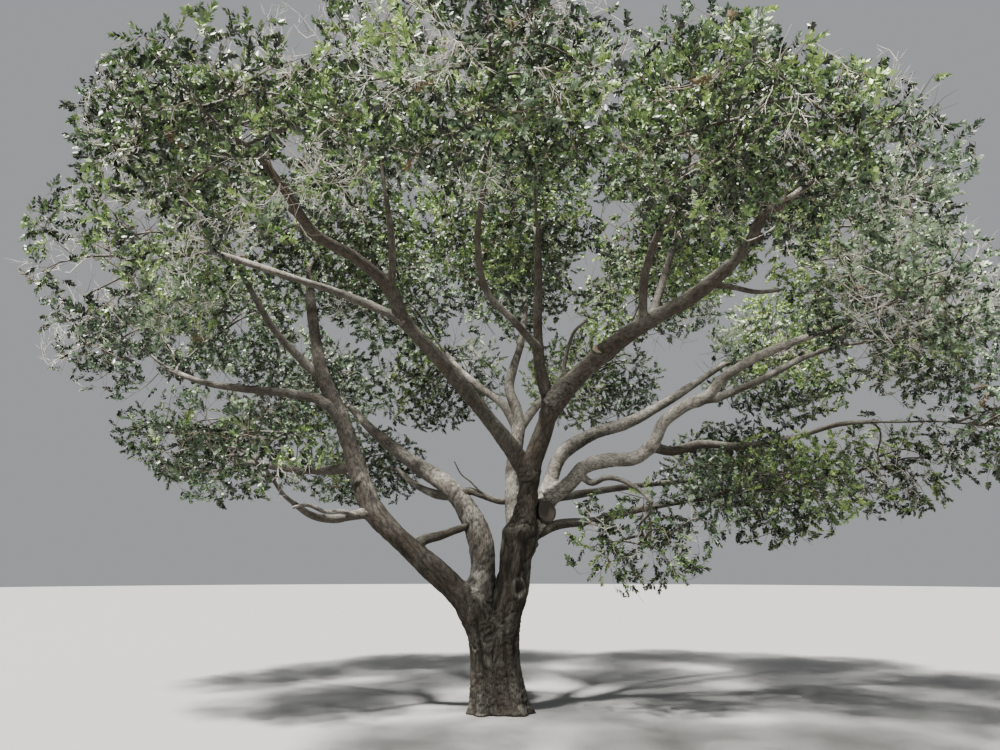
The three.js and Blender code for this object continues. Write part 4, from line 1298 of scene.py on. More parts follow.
def groove_relief(points, centre):
    """Depth of the long grooves, which also sets their painted shade, and the shift in colour beside them,
    for the places that face the front.
    """
    depth = np.zeros(len(points))
    light_and_tone = np.zeros(len(points))
    front = points[:, 1] < centre[:, 1]
    for places, right_tone in GROOVES:
        x, height = np.array(places).T
        where = np.interp(points[:, 2], height[::-1], x[::-1])
        within = np.clip((points[:, 2] - height.min()) / GROOVE_FADE, 0, 1)
        within *= np.clip((height.max() - points[:, 2]) / GROOVE_FADE, 0, 1)
        aside = points[:, 0] - where + GROOVE_WANDER * noise(points * 4, GROOVE_SEED)
        depth += np.where(front, within * np.exp(-(aside / GROOVE_WIDTH) ** 2), 0)
        light_and_tone += np.where(front, within * right_tone * np.clip(aside / GROOVE_TONE_WIDTH, 0, 1), 0)
    return depth, light_and_tone


def skin_sides(limb, bark):
    """How many places stand round a limb, so that faces are about as wide on thick and thin ones."""
    thickness = limb.radius.mean()
    narrowest, widest = FACE_RANGE
    cell = bark.skin_cell * min(widest, max(narrowest, (thickness / FACE_RADIUS) ** 0.5))
    return int(min(MOST_SIDES, max(FEWEST_SIDES, round(2 * math.pi * thickness / cell))))


def close_tip(limb, points, grain, furrow, light_and_tone):
    """The rings of a skin, with those that close it beyond its last one."""
    cut = limb.end == "cut"
    rings, grains = [points], [grain]
    for narrow, ahead in CUT_END if cut else ROUND_END:
        step = ahead if cut else ahead * limb.radius[-1]
        centre = limb.line[-1] + limb.tangent[-1] * step
        rings.append((centre + (points[-1] - limb.line[-1]) * narrow)[None])
        grains.append((grain[-1] * np.array([narrow, narrow, 1]) + [0, 0, step])[None])
    more = len(rings) - 1
    furrow = np.vstack([furrow] + [furrow[-1:] * (0 if cut else 1)] * more)
    return np.concatenate(rings), np.concatenate(grains), furrow, np.vstack([light_and_tone] + [light_and_tone[-1:]] * more)


def skin_faces(rows, sides):
    """Quads between the rings of a skin, and the triangles that close its foot and its tip."""
    i, j = np.meshgrid(np.arange(rows - 1), np.arange(sides), indexing="ij")
    k = (j + 1) % sides
    quads = np.stack([i * sides + j, i * sides + k, (i + 1) * sides + k, (i + 1) * sides + j], -1)
    around = np.arange(sides)
    after = (around + 1) % sides
    top, foot_centre = (rows - 1) * sides, rows * sides
    foot = np.stack([np.full(sides, foot_centre), after, around], -1)
    tip = np.stack([np.full(sides, foot_centre + 1), top + around, top + after], -1)
    return quads.reshape(-1, 4), np.vstack([foot, tip])


def cut_marks(limb, rows, sides):
    """Which finish each quad and each triangle of a skin has: bark's, or a cut face's."""
    quads = np.zeros((rows - 1) * sides, np.int32)
    triangles = np.zeros(2 * sides, np.int32)
    if limb.end == "cut":
        kind = OLD_CUT if limb.radius[-1] > OLD_CUT_RADIUS else FRESH_CUT
        quads[-CUT_FACE_ROWS * sides:] = kind
        triangles[sides:] = kind
    return quads, triangles


def limb_skin(limb, others, bark, trunk=False):
    """Points, faces, straightened-limb places, depths down the furrows with their painted shade, painted
    light and colour shifts, and finishes of one limb's skin.
    """
    sides = skin_sides(limb, bark)
    angle = np.arange(sides) * 2 * math.pi / sides
    outward = np.cos(angle)[:, None] * limb.side[:, None] + np.sin(angle)[:, None] * limb.up[:, None]
    base = limb.radius[:, None] * (1 + limb.swelling(angle[None]))
    grain = np.stack([base * np.cos(angle), base * np.sin(angle),
                      np.broadcast_to(limb.along[:, None], base.shape)], -1)
    grain = grain + np.array([len(limb.name) * 1.7, limb.along[-1] * 3.3, 0.0])
    height, furrow = bark_relief(grain, np.broadcast_to(limb.radius[:, None], base.shape), bark)
    points = limb.line[:, None] + outward * (base + height)[..., None]
    flat = points.reshape(-1, 3)
    rise, crease = meeting(flat, np.repeat(limb.radius, sides), limb, others)
    # The crease between touching limbs takes painted shade, as the furrows do
    furrow = np.maximum(furrow, crease.reshape(furrow.shape) * 0.9)
    # Each limb's painted sunlight or shade, along with its own bark colour
    light_and_tone = np.full(len(flat), LIMB_LIGHT_AND_TONE.get(limb.name, 0.0))
    if trunk:
        extra, dark, pale = knot_relief(flat, limb.line)
        groove, shift = groove_relief(flat, np.repeat(limb.line, sides, axis=0))
        rise = rise + extra - GROOVE_DEPTH * groove
        # Painted light on knot rims, lips and domes, and the shift in colour beside the grooves
        light_and_tone = light_and_tone + pale + shift
        # Painted shade in knot hollows and in the grooves
        furrow = np.maximum(furrow, np.maximum(dark, 0.8 * groove).reshape(furrow.shape))
    points = points + outward * rise.reshape(base.shape)[..., None]
    if trunk:
        points[0, :, 2] = 0.0
    points, grain, furrow, light_and_tone = close_tip(limb, points, grain, furrow, light_and_tone.reshape(base.shape))
    centres = [limb.line[0], points[-1].mean(0)]
    return {
        "points": np.vstack([points.reshape(-1, 3), centres]),
        "faces": skin_faces(len(points), sides),
        "grain": np.vstack([grain.reshape(-1, 3), grain[0].mean(0), grain[-1].mean(0)]),
        "furrow": np.concatenate([furrow.reshape(-1), [0, 0]]),
        "light_and_tone": np.concatenate([light_and_tone.reshape(-1), [0, 0]]),
        "finish": cut_marks(limb, len(points), sides),
    }


def bark_piece(name, skins, materials):
    """One mesh from several limbs' skins, with what its materials read stored on its points."""
    starts = np.cumsum([0] + [len(skin["points"]) for skin in skins[:-1]])
    faces = [np.vstack([skin["faces"][kind] + start for skin, start in zip(skins, starts)])
             for kind in (0, 1)]
    points, grain, furrow, light_and_tone = (
        np.concatenate([skin[key] for skin in skins]) for key in ("points", "grain", "furrow", "light_and_tone"))
    mesh = new_mesh(name, points, faces)
    normals = np.zeros(len(points) * 3, np.float32)
    mesh.vertex_normals.foreach_get("vector", normals)
    facing_up = normals.reshape(-1, 3)[:, 2]
    broad, fine = WEATHER_SEEDS
    patches = noise(points * 1.6, broad) + 0.5 * noise(points * 4.5, fine)
    # Paler where the skin faces up, from weathering and painted sunlight, in patches of weathering, and
    # with each limb's and knot's painted light or shade
    weather = 0.3 + 0.5 * facing_up + 0.4 * patches + 0.5 * light_and_tone
    add_attribute(mesh, "grain", "FLOAT_VECTOR", grain)
    add_attribute(mesh, "furrow", "FLOAT", furrow)
    add_attribute(mesh, "weather", "FLOAT", weather)
    for material in materials:
        mesh.materials.append(material)
    finish = np.concatenate([skin["finish"][kind] for kind in (0, 1) for skin in skins])
    mesh.polygons.foreach_set("material_index", finish)
    mesh.update()
    return new_object(name, mesh)


def new_tree(name, kind, inputs, outputs):
    """A node group with named sockets, and its input and output nodes."""
    tree = bpy.data.node_groups.new(name, kind)
    for socket, socket_type, default in inputs:
        made = tree.interface.new_socket(name=socket, in_out="INPUT", socket_type=socket_type)
        if default is not None:
            made.default_value = default
    for socket, socket_type in outputs:
        tree.interface.new_socket(name=socket, in_out="OUTPUT", socket_type=socket_type)
    return tree, tree.nodes.new("NodeGroupInput"), tree.nodes.new("NodeGroupOutput")


def add_node(tree, kind, values=None, **settings):
    """A node with its settings and its unlinked inputs' values."""
    made = tree.nodes.new(kind)
    for key, value in settings.items():
        setattr(made, key, value)
    for key, value in (values or {}).items():
        made.inputs[key].default_value = value
    return made


def shown(sockets, name):
    """The socket of that name that the node's settings make available."""
    return next(s for s in sockets if s.name == name and s.enabled)


def bark_pattern():
    """Cracks, patches and flecks of bark that run along the limb."""
    found = bpy.data.node_groups.get("Bark pattern")
    if found:
        return found
    tree, given, result = new_tree(
        "Bark pattern", "ShaderNodeTree",
        [("Grain", "NodeSocketVector", None), ("Plate width", "NodeSocketFloat", 0.05),
         ("Stretch", "NodeSocketFloat", 4.0)],
        [("Cracks", "NodeSocketFloat"), ("Patches", "NodeSocketFloat"),
         ("Flecks", "NodeSocketFloat"), ("Height", "NodeSocketFloat")])
    link = tree.links.new
    across_scale = add_node(tree, "ShaderNodeMath", {0: 1.0}, operation="DIVIDE")
    link(given.outputs["Plate width"], across_scale.inputs[1])
    along_scale = add_node(tree, "ShaderNodeMath", operation="DIVIDE")
    link(across_scale.outputs[0], along_scale.inputs[0])
    link(given.outputs["Stretch"], along_scale.inputs[1])
    scale = add_node(tree, "ShaderNodeCombineXYZ")
    link(across_scale.outputs[0], scale.inputs[0])
    link(across_scale.outputs[0], scale.inputs[1])
    link(along_scale.outputs[0], scale.inputs[2])
    plates = add_node(tree, "ShaderNodeVectorMath", operation="MULTIPLY")
    link(given.outputs["Grain"], plates.inputs[0])
    link(scale.outputs[0], plates.inputs[1])
    warp = add_node(tree, "ShaderNodeTexNoise", {"Scale": 0.9, "Detail": 3.0})
    link(plates.outputs[0], warp.inputs["Vector"])
    bent = add_node(tree, "ShaderNodeVectorMath", {2: (0.55, 0.55, 0.55)}, operation="MULTIPLY_ADD")
    link(warp.outputs["Color"], bent.inputs[0])
    bent.inputs[1].default_value = (1.1, 1.1, 1.1)
    link(plates.outputs[0], bent.inputs[2])
    edge = add_node(tree, "ShaderNodeTexVoronoi", {"Scale": 1.0}, feature="DISTANCE_TO_EDGE")
    link(bent.outputs[0], edge.inputs["Vector"])
    cracks = add_node(
        tree, "ShaderNodeMapRange", {"From Min": 0.0, "From Max": 0.16, "To Min": 1.0, "To Max": 0.0},
        interpolation_type="SMOOTHSTEP")
    link(edge.outputs["Distance"], cracks.inputs["Value"])
    patches = add_node(tree, "ShaderNodeTexNoise", {"Scale": 2.6, "Detail": 4.0, "Roughness": 0.6})
    link(given.outputs["Grain"], patches.inputs["Vector"])
    even = add_node(tree, "ShaderNodeMapRange", {"From Min": 0.35, "From Max": 0.65})
    link(patches.outputs["Fac"], even.inputs["Value"])
    flecks = add_node(tree, "ShaderNodeTexNoise", {"Scale": 2.4, "Detail": 5.0, "Roughness": 0.7})
    link(plates.outputs[0], flecks.inputs["Vector"])
    lifted = add_node(tree, "ShaderNodeMath", {1: -0.6, 2: 0.5}, operation="MULTIPLY_ADD")
    link(cracks.outputs[0], lifted.inputs[0])
    height = add_node(tree, "ShaderNodeMath", {1: 0.7}, operation="MULTIPLY_ADD")
    link(flecks.outputs["Fac"], height.inputs[0])
    link(lifted.outputs[0], height.inputs[2])
    link(cracks.outputs[0], result.inputs["Cracks"])
    link(even.outputs[0], result.inputs["Patches"])
    link(flecks.outputs["Fac"], result.inputs["Flecks"])
    link(height.outputs[0], result.inputs["Height"])
    return tree


def colour_mix(tree, factor, first, second, blend="MIX"):
    """A node that mixes two colours or sockets, and its output."""
    mix = add_node(tree, "ShaderNodeMix", data_type="RGBA", blend_type=blend)
    for socket, value in ((shown(mix.inputs, "Factor"), factor), (shown(mix.inputs, "A"), first),
                          (shown(mix.inputs, "B"), second)):
        if isinstance(value, bpy.types.NodeSocket):
            tree.links.new(value, socket)
        elif isinstance(value, (int, float)):
            socket.default_value = value
        else:
            socket.default_value = (*value, 1.0)
    return shown(mix.outputs, "Result")


def start_material(name, roughness, sheen=BARK_SHEEN):
    """A material, its node tree and its shader."""
    material = bpy.data.materials.new(name)
    material.use_nodes = True
    tree = material.node_tree
    shader = next(n for n in tree.nodes if n.type == "BSDF_PRINCIPLED")
    shader.inputs["Roughness"].default_value = roughness
    shader.inputs["Specular IOR Level"].default_value = sheen
    return material, tree, shader


def scaled(tree, socket, factor, offset=0.0):
    """A value times a factor plus an offset, kept between 0 and 1."""
    made = add_node(tree, "ShaderNodeMath", {1: factor, 2: offset}, operation="MULTIPLY_ADD")
    made.use_clamp = True
    tree.links.new(socket, made.inputs[0])
    return made.outputs[0]


def added(tree, first, second):
    """The sum of two values, kept between 0 and 1."""
    made = add_node(tree, "ShaderNodeMath", operation="ADD", use_clamp=True)
    tree.links.new(first, made.inputs[0])
    tree.links.new(second, made.inputs[1])
    return made.outputs[0]


def bark_material(name, bark):
    """Bark that is pale where it weathers and where sunlight is painted on, warm where it flakes and where
    shade is painted on, and near black down in its furrows with painted shade.
    """
    plate_width, stretch, warmth, bump = FINE_BARK[name]
    material, tree, shader = start_material(name, 0.9)
    link = tree.links.new
    grain = add_node(tree, "ShaderNodeAttribute", attribute_name="grain")
    furrow = add_node(tree, "ShaderNodeAttribute", attribute_name="furrow")
    weather = add_node(tree, "ShaderNodeAttribute", attribute_name="weather")
    pattern = add_node(tree, "ShaderNodeGroup", node_tree=bark_pattern())
    pattern.inputs["Plate width"].default_value = plate_width
    pattern.inputs["Stretch"].default_value = stretch
    link(grain.outputs["Vector"], pattern.inputs["Grain"])
    # Warm bark where the skin faces down or its limb is shaded: flaking bark and painted shade
    warm_share = scaled(tree, pattern.outputs["Patches"], 0.8, warmth - 0.4)
    warm_share = added(tree, warm_share, scaled(tree, weather.outputs["Fac"], -1.2, 0.25))
    base = colour_mix(tree, warm_share, bark.grey, bark.warm)
    # Pale bark where the skin faces up or its limb is lit: weathering and painted sunlight
    base = colour_mix(tree, scaled(tree, weather.outputs["Fac"], 1.25, -0.3), base, bark.pale)
    speckle = scaled(tree, pattern.outputs["Flecks"], 2.6, -0.95)
    base = colour_mix(tree, speckle, colour_mix(tree, 0.32, base, bark.crack_and_shade), base)
    base = colour_mix(tree, scaled(tree, pattern.outputs["Cracks"], 0.5), base, bark.crack_and_shade)
    # Painted shade down in furrows, creases, grooves and knot hollows
    base = colour_mix(tree, scaled(tree, furrow.outputs["Fac"], 0.95), base, bark.crack_and_shade)
    link(base, shader.inputs["Base Color"])
    relief = add_node(tree, "ShaderNodeBump", {"Strength": 0.9, "Distance": bump})
    link(pattern.outputs["Height"], relief.inputs["Height"])
    link(relief.outputs["Normal"], shader.inputs["Normal"])
    return material


def cut_material(name, fresh, heart):
    """The face of a pruned limb: rings round the heart, and fine grit."""
    material, tree, shader = start_material(name, 0.8)
    link = tree.links.new
    grain = add_node(tree, "ShaderNodeAttribute", attribute_name="grain")
    grit = add_node(tree, "ShaderNodeTexNoise", {"Scale": 9.0, "Detail": 4.0})
    link(grain.outputs["Vector"], grit.inputs["Vector"])
    rings = add_node(tree, "ShaderNodeTexNoise", {"Scale": 40.0, "Detail": 2.0})
    link(grain.outputs["Vector"], rings.inputs["Vector"])
    base = colour_mix(tree, scaled(tree, grit.outputs["Fac"], 1.8, -0.45), fresh, heart)
    base = colour_mix(tree, scaled(tree, rings.outputs["Fac"], 1.2, -0.35), base, heart)
    link(base, shader.inputs["Base Color"])
    relief = add_node(tree, "ShaderNodeBump", {"Strength": 0.5, "Distance": 0.006})
    link(grit.outputs["Fac"], relief.inputs["Height"])
    link(relief.outputs["Normal"], shader.inputs["Normal"])
    return material


def plain_material(name, colour, roughness, sheen=BARK_SHEEN):
    """An even finish for things as fine as leaves and twigs."""
    material, _, shader = start_material(name, roughness, sheen)
    shader.inputs["Base Color"].default_value = (*colour, 1.0)
    return material


def leaf_materials(crown):
    """An even finish for each tint of leaf."""
    return [plain_material(name, getattr(crown, setting), roughness, LEAF_SHEEN)
            for name, _, setting, roughness in LEAF_TINTS]


def twig_materials(crown):
    """The finishes of live and dead twigs."""
    return [plain_material("twig_bark", crown.twig, 0.85),
            plain_material("dead_twig", crown.dead_twig, 0.9)]


def leaf_mesh(root, toward, facing, length, width, mirror):
    """Points and faces of one leaf, folded a little on its midrib."""
    side = unit(np.cross(facing, toward)) * mirror
    facing = np.cross(toward, side) * mirror
    half = width * length / 2
    points = [root + side * x * half + toward * y * length + facing * z * half
              for x, y, z in LEAF_OUTLINE]
    return np.array(points), LEAF_FACES[:, ::-int(mirror)]


def spray_shape(index, crown):
    """The leaves of one spray of unit length that stands up +Z, by the golden angle."""
    rng = np.random.default_rng(SPRAY_SEED + index)
    points, faces, shades = [], [], []
    for i in range(crown.leaves):
        share = LOWEST_LEAF + (1 - LOWEST_LEAF) * (i + 0.5) / crown.leaves
        turn = i * GOLDEN_ANGLE + rng.normal(0, LEAF_TURN_STRAY)
        lean = (LEAF_LEAN - LEAF_LEAN_LOST * share) * (0.85 + 0.3 * rng.random())
        around = np.array([math.cos(turn), math.sin(turn), 0])
        toward = unit(around * math.sin(lean) + UP * math.cos(lean))
        facing = unit(UP * 1.1 - around * 0.5 + rng.normal(0, LEAF_FACING_STRAY, 3))
        length = crown.leaf_length * (0.75 + 0.4 * rng.random()) * (1.1 - 0.25 * share)
        root = UP * share + around * LEAF_STANDOFF
        leaf, leaf_faces = leaf_mesh(
            root, toward, facing, length, crown.leaf_width, 1.0 if i % 2 else -1.0)
        faces.append(leaf_faces + len(leaf) * i)
        points.append(leaf)
        shades += [int(rng.choice(LEAF_STEPS))] * len(leaf_faces)
    return np.vstack(points), np.vstack(faces), shades


def spike(foot, tip, radius):
    """A closed three-sided spike."""
    side, up = across(unit(tip - foot)[None])
    turns = np.arange(3) * 2 * math.pi / 3
    base = foot + radius * (np.cos(turns)[:, None] * side + np.sin(turns)[:, None] * up)
    return np.vstack([base, tip]), np.array([(0, 1, 3), (1, 2, 3), (2, 0, 3), (0, 2, 1)])


def sprig_shape(index):
    """The twiglet of one spray, or for a dead one a fan of bare twiglets."""
    if index < SPRIG_SHAPES:
        points, faces = spike(np.zeros(3), UP * 0.98, TWIGLET_RADIUS)
        return points, faces, [0] * len(faces)
    rng = np.random.default_rng(BARE_SPRIG_SEED)
    points, faces = [], []
    for i in range(BARE_TWIGLETS):
        turn = i * GOLDEN_ANGLE
        lean = 0.15 + 0.45 * rng.random()
        foot = UP * 0.16 * i
        way = np.array([math.cos(turn) * math.sin(lean), math.sin(turn) * math.sin(lean), math.cos(lean)])
        made, made_faces = spike(foot, foot + way * (0.8 + 0.5 * rng.random()), BARE_TWIGLET_RADIUS)
        faces.append(made_faces + len(made) * i)
        points.append(made)
    return np.vstack(points), np.vstack(faces), [0] * sum(map(len, faces))


def shape_collection(name, shapes):
    """A collection of small meshes for points to pick from, in the order given."""
    collection = bpy.data.collections.new(name)
    for index, (points, faces, shades) in enumerate(shapes):
        mesh = new_mesh(f"{name}{index}", points, [faces])
        mesh.attributes.new("shade", "INT", "FACE").data.foreach_set("value", shades)
        collection.objects.link(bpy.data.objects.new(f"{name}{index}", mesh))
    return collection


def named_value(tree, name, kind):
    """What an attribute of that name holds."""
    read = add_node(tree, "GeometryNodeInputNamedAttribute", {"Name": name}, data_type=kind)
    return shown(read.outputs, "Attribute")


def paint_by_tint(tree, geometry, tint, materials, levels):
    """Set Material for all, then again for every tint from each next level on."""
    for level, material in zip(levels, materials):
        paint = add_node(tree, "GeometryNodeSetMaterial")
        paint.inputs["Material"].default_value = material
        tree.links.new(geometry, paint.inputs["Geometry"])
        if level > levels[0]:
            above = add_node(tree, "FunctionNodeCompare", data_type="INT", operation="GREATER_EQUAL")
            tree.links.new(tint, shown(above.inputs, "A"))
            shown(above.inputs, "B").default_value = level
            tree.links.new(above.outputs[0], paint.inputs["Selection"])
        geometry = paint.outputs[0]
    return geometry


def spray_tree(name, materials, levels):
    """Geometry nodes that stand a picked shape on each spray's root, aimed and rolled."""
    tree, given, result = new_tree(
        name, "GeometryNodeTree",
        [("Roots", "NodeSocketGeometry", None), ("Shapes", "NodeSocketCollection", None),
         ("Size", "NodeSocketFloat", 1.0)],
        [("Sprays", "NodeSocketGeometry")])
    link = tree.links.new
    shapes = add_node(tree, "GeometryNodeCollectionInfo",
                      {"Separate Children": True, "Reset Children": True})
    link(given.outputs["Shapes"], shapes.inputs["Collection"])
    aimed = add_node(tree, "FunctionNodeAlignRotationToVector", axis="Z")
    link(named_value(tree, "aim", "FLOAT_VECTOR"), aimed.inputs["Vector"])
    roll = add_node(tree, "FunctionNodeAxisAngleToRotation", {"Axis": (0, 0, 1)})
    link(named_value(tree, "roll", "FLOAT"), roll.inputs["Angle"])
    turned = add_node(tree, "FunctionNodeRotateRotation", rotation_space="LOCAL")
    link(aimed.outputs[0], turned.inputs["Rotation"])
    link(roll.outputs[0], turned.inputs["Rotate By"])
    size = add_node(tree, "ShaderNodeMath", operation="MULTIPLY")
    link(named_value(tree, "size", "FLOAT"), size.inputs[0])
    link(given.outputs["Size"], size.inputs[1])
    stand = add_node(tree, "GeometryNodeInstanceOnPoints", {"Pick Instance": True})
    link(given.outputs["Roots"], stand.inputs["Points"])
    link(shapes.outputs[0], stand.inputs["Instance"])
    link(named_value(tree, "shape", "INT"), stand.inputs["Instance Index"])
    link(turned.outputs[0], stand.inputs["Rotation"])
    link(size.outputs[0], stand.inputs["Scale"])
    real = add_node(tree, "GeometryNodeRealizeInstances")
    link(stand.outputs[0], real.inputs["Geometry"])
    tint = add_node(tree, "FunctionNodeIntegerMath", operation="ADD")
    link(named_value(tree, "tint", "INT"), tint.inputs[0])
    link(named_value(tree, "shade", "INT"), tint.inputs[1])
    painted = paint_by_tint(tree, real.outputs[0], tint.outputs[0], materials, levels)
    link(painted, result.inputs["Sprays"])
    return tree


def twig_tree(name, materials, levels):
    """Geometry nodes that turn lines into closed tapering twigs."""
    tree, given, result = new_tree(
        name, "GeometryNodeTree",
        [("Lines", "NodeSocketGeometry", None), ("Sides", "NodeSocketInt", 3),
         ("Thickness", "NodeSocketFloat", 1.0)],
        [("Twigs", "NodeSocketGeometry")])
    link = tree.links.new
    curves = add_node(tree, "GeometryNodeMeshToCurve")
    link(given.outputs["Lines"], curves.inputs["Mesh"])
    outline = add_node(tree, "GeometryNodeCurvePrimitiveCircle", {"Radius": 1.0})
    link(given.outputs["Sides"], outline.inputs["Resolution"])
    thickness = add_node(tree, "ShaderNodeMath", operation="MULTIPLY")
    link(named_value(tree, "radius", "FLOAT"), thickness.inputs[0])
    link(given.outputs["Thickness"], thickness.inputs[1])
    skin = add_node(tree, "GeometryNodeCurveToMesh", {"Fill Caps": True})
    real = add_node(tree, "GeometryNodeRealizeInstances")
    link(curves.outputs[0], skin.inputs["Curve"])
    link(outline.outputs["Curve"], skin.inputs["Profile Curve"])
    link(thickness.outputs[0], skin.inputs["Scale"])
    link(skin.outputs[0], real.inputs["Geometry"])
    tint = named_value(tree, "tint", "INT")
    link(paint_by_tint(tree, real.outputs[0], tint, materials, levels), result.inputs["Twigs"])
    return tree


def with_nodes(piece, tree, values):
    """The piece takes the tree as a modifier, with its inputs set by their identifiers."""
    modifier = piece.modifiers.new("Growth", "NODES")
    modifier.node_group = tree
    for item in tree.interface.items_tree:
        if item.in_out == "INPUT" and item.name in values:
            modifier[item.identifier] = values[item.name]
    return piece


def settle(pieces):
    """What the pieces' nodes make becomes their own plain mesh, and the nodes come off."""
    shapes = bpy.context.evaluated_depsgraph_get()
    for piece in pieces:
        made = bpy.data.meshes.new_from_object(piece.evaluated_get(shapes))
        made.name = piece.name
        for attribute in ("tint", "aim", "roll", "size", "shape", "radius", "shade"):
            if attribute in made.attributes:
                made.attributes.remove(made.attributes[attribute])
        piece.modifiers.clear()
        piece.data = made
        if not made.polygons:
            raise RuntimeError(f"{piece.name} has no faces")


def lines_mesh(name, lines, radii, tints):
    """A mesh of edges along lines of as many places each, with a tint and a foot and tip radius."""
    n, k = lines.shape[:2]
    mesh = bpy.data.meshes.new(name)
    first = (np.arange(n)[:, None] * k + np.arange(k - 1)).reshape(-1)
    mesh.vertices.add(n * k)
    mesh.vertices.foreach_set("co", lines.astype(np.float32).reshape(-1))
    mesh.edges.add(len(first))
    mesh.edges.foreach_set("vertices", np.stack([first, first + 1], -1).astype(np.int32).reshape(-1))
    add_attribute(mesh, "radius", "FLOAT", np.tile(np.linspace(*radii, k), n).astype(np.float32))
    add_attribute(mesh, "tint", "INT", np.repeat(tints, k).astype(np.int32))
    return mesh


def roots_mesh(name, sprays, tints, shapes):
    """A mesh of lone points where sprays stand."""
    mesh = bpy.data.meshes.new(name)
    mesh.vertices.add(len(tints))
    mesh.vertices.foreach_set("co", sprays["root"].astype(np.float32).reshape(-1))
    add_attribute(mesh, "aim", "FLOAT_VECTOR", sprays["aim"].astype(np.float32))
    add_attribute(mesh, "size", "FLOAT", sprays["size"].astype(np.float32))
    add_attribute(mesh, "roll", "FLOAT", sprays["roll"].astype(np.float32))
    add_attribute(mesh, "shape", "INT", shapes.astype(np.int32))
    add_attribute(mesh, "tint", "INT", tints.astype(np.int32))
    return mesh


def joined(name, pieces):
    """Several pieces as one, the first one's name changed."""
    with bpy.context.temp_override(
            active_object=pieces[0], object=pieces[0], selected_objects=pieces,
            selected_editable_objects=pieces):
        bpy.ops.object.join()
    pieces[0].name = name
    pieces[0].data.name = name
    return pieces[0]


class OBJECT_OT_oak_trunk(bpy.types.Operator):
    """Clothe the trunk in furrowed bark with its knots and root flare"""

    bl_idname = "object.oak_trunk"
    bl_label = "Trunk bark"

    def execute(self, context):
        bark = context.scene.oak_bark
        stems = trunk_stems()
        others = [*stems, *boughs().values()]
        skins = [limb_skin(stem, others, bark, trunk=True) for stem in stems]
        finish = [bark_material("trunk_bark", bark)]
        piece = bark_piece("bark_trunk", skins, finish)
        dress(piece, ["trunk"])
        return {"FINISHED"}


class OBJECT_OT_oak_boughs(bpy.types.Operator):
    """Clothe every bough in bark that grows smoother and paler outwards"""

    bl_idname = "object.oak_boughs"
    bl_label = "Bough bark"

    def execute(self, context):
        bark = context.scene.oak_bark
        grown = boughs()
        others = [*trunk_stems(), *grown.values()]
        finish = [bark_material("bough_bark", bark),
                  cut_material("cut_wood", bark.cut_wood, bark.warm),
                  cut_material("old_cut_wood", bark.old_cut_and_shade, bark.warm)]
        for name, members in BARK_PIECES.items():
            limbs = [limb for limb in grown.values()
                     if limb.name in members or (limb.end == "cut" and limb.on in members)]
            skins = [limb_skin(limb, others, bark) for limb in limbs]
            piece = bark_piece(name, skins, finish)
            dress(piece, [row[0] for row in LIMBS if row[0] in members])
        return {"FINISHED"}


class OBJECT_OT_oak_stems(bpy.types.Operator):
    """Grow the stems and main twigs that carry the masses of leaves"""

    bl_idname = "object.oak_stems"
    bl_label = "Stems of the masses"

    def execute(self, context):
        bark = context.scene.oak_bark
        skins = []
        for mass in crown_masses():
            host = boughs()[mass.space.on]
            members = [mass.stem, *mass.twigs]
            skins += [limb_skin(limb, [mass.stem, host], bark) for limb in members]
        finish = [bark_material("young_bark", bark)]
        piece = bark_piece("bark_stems", skins, finish)
        dress(piece, [f"leaves_{mass.name}" for mass in crown_masses()])
        return {"FINISHED"}


class OBJECT_OT_oak_twigs(bpy.types.Operator):
    """Grow the finer twigs of every mass, live and dead"""

    bl_idname = "object.oak_twigs"
    bl_label = "Twigs"

    def execute(self, context):
        crown = context.scene.oak_crown
        finish = twig_materials(crown)
        tubes = twig_tree("Twigs along lines", finish, TWIG_LEVELS)
        sprigs = spray_tree("Twiglets on roots", finish, TWIG_LEVELS)
        shapes = shape_collection("twiglet", [sprig_shape(i) for i in range(SPRIG_SHAPES + 1)])
        parts = []
        for mass in crown_masses():
            group = []
            for label, lines, dead, radii in (
                    ("branches", mass.branches, mass.branch_dead, BRANCH_RADII),
                    ("shoots", mass.shoots, mass.shoot_dead, SHOOT_RADII)):
                mesh = lines_mesh(f"{label}_{mass.name}", lines, radii, dead)
                group.append(with_nodes(new_object(mesh.name, mesh), tubes, {"Sides": TWIG_SIDES}))
            shape = np.where(mass.spray_dead, BARE_SPRIG, mass.sprays["shape"])
            mesh = roots_mesh(f"sprigs_{mass.name}", mass.sprays, mass.spray_dead, shape)
            group.append(with_nodes(new_object(mesh.name, mesh), sprigs, {"Shapes": shapes}))
            parts.append((mass, group))
        settle([piece for _, group in parts for piece in group])
        for mass, group in parts:
            dress(joined(f"twigs_{mass.name}", group), [f"leaves_{mass.name}"])
        return {"FINISHED"}


class OBJECT_OT_oak_leaves(bpy.types.Operator):
    """Stand sprays of leaves on every live shoot"""

    bl_idname = "object.oak_leaves"
    bl_label = "Leaves"

    def execute(self, context):
        crown = context.scene.oak_crown
        levels = [row[1] for row in LEAF_TINTS]
        tree = spray_tree("Leaf sprays on roots", leaf_materials(crown), levels)
        shapes = shape_collection("spray", [spray_shape(i, crown) for i in range(SPRIG_SHAPES)])
        pieces = []
        for mass in crown_masses():
            live = ~mass.spray_dead
            sprays = {key: values[live] for key, values in mass.sprays.items()}
            mesh = roots_mesh(f"foliage_{mass.name}", sprays, mass.tint[live], sprays["shape"])
            pieces.append(with_nodes(new_object(mesh.name, mesh), tree, {"Shapes": shapes}))
        settle(pieces)
        for mass, piece in zip(crown_masses(), pieces):
            dress(piece, [f"leaves_{mass.name}"])
        return {"FINISHED"}


class OBJECT_OT_oak_stage(bpy.types.Operator):
    """Set up a plain floor, the light and the camera"""

    bl_idname = "object.oak_stage"
    bl_label = "Studio"

    def execute(self, context):
        stage = context.scene.oak_stage
        add_floor(stage)
        add_light(stage)
        add_camera()
        return {"FINISHED"}


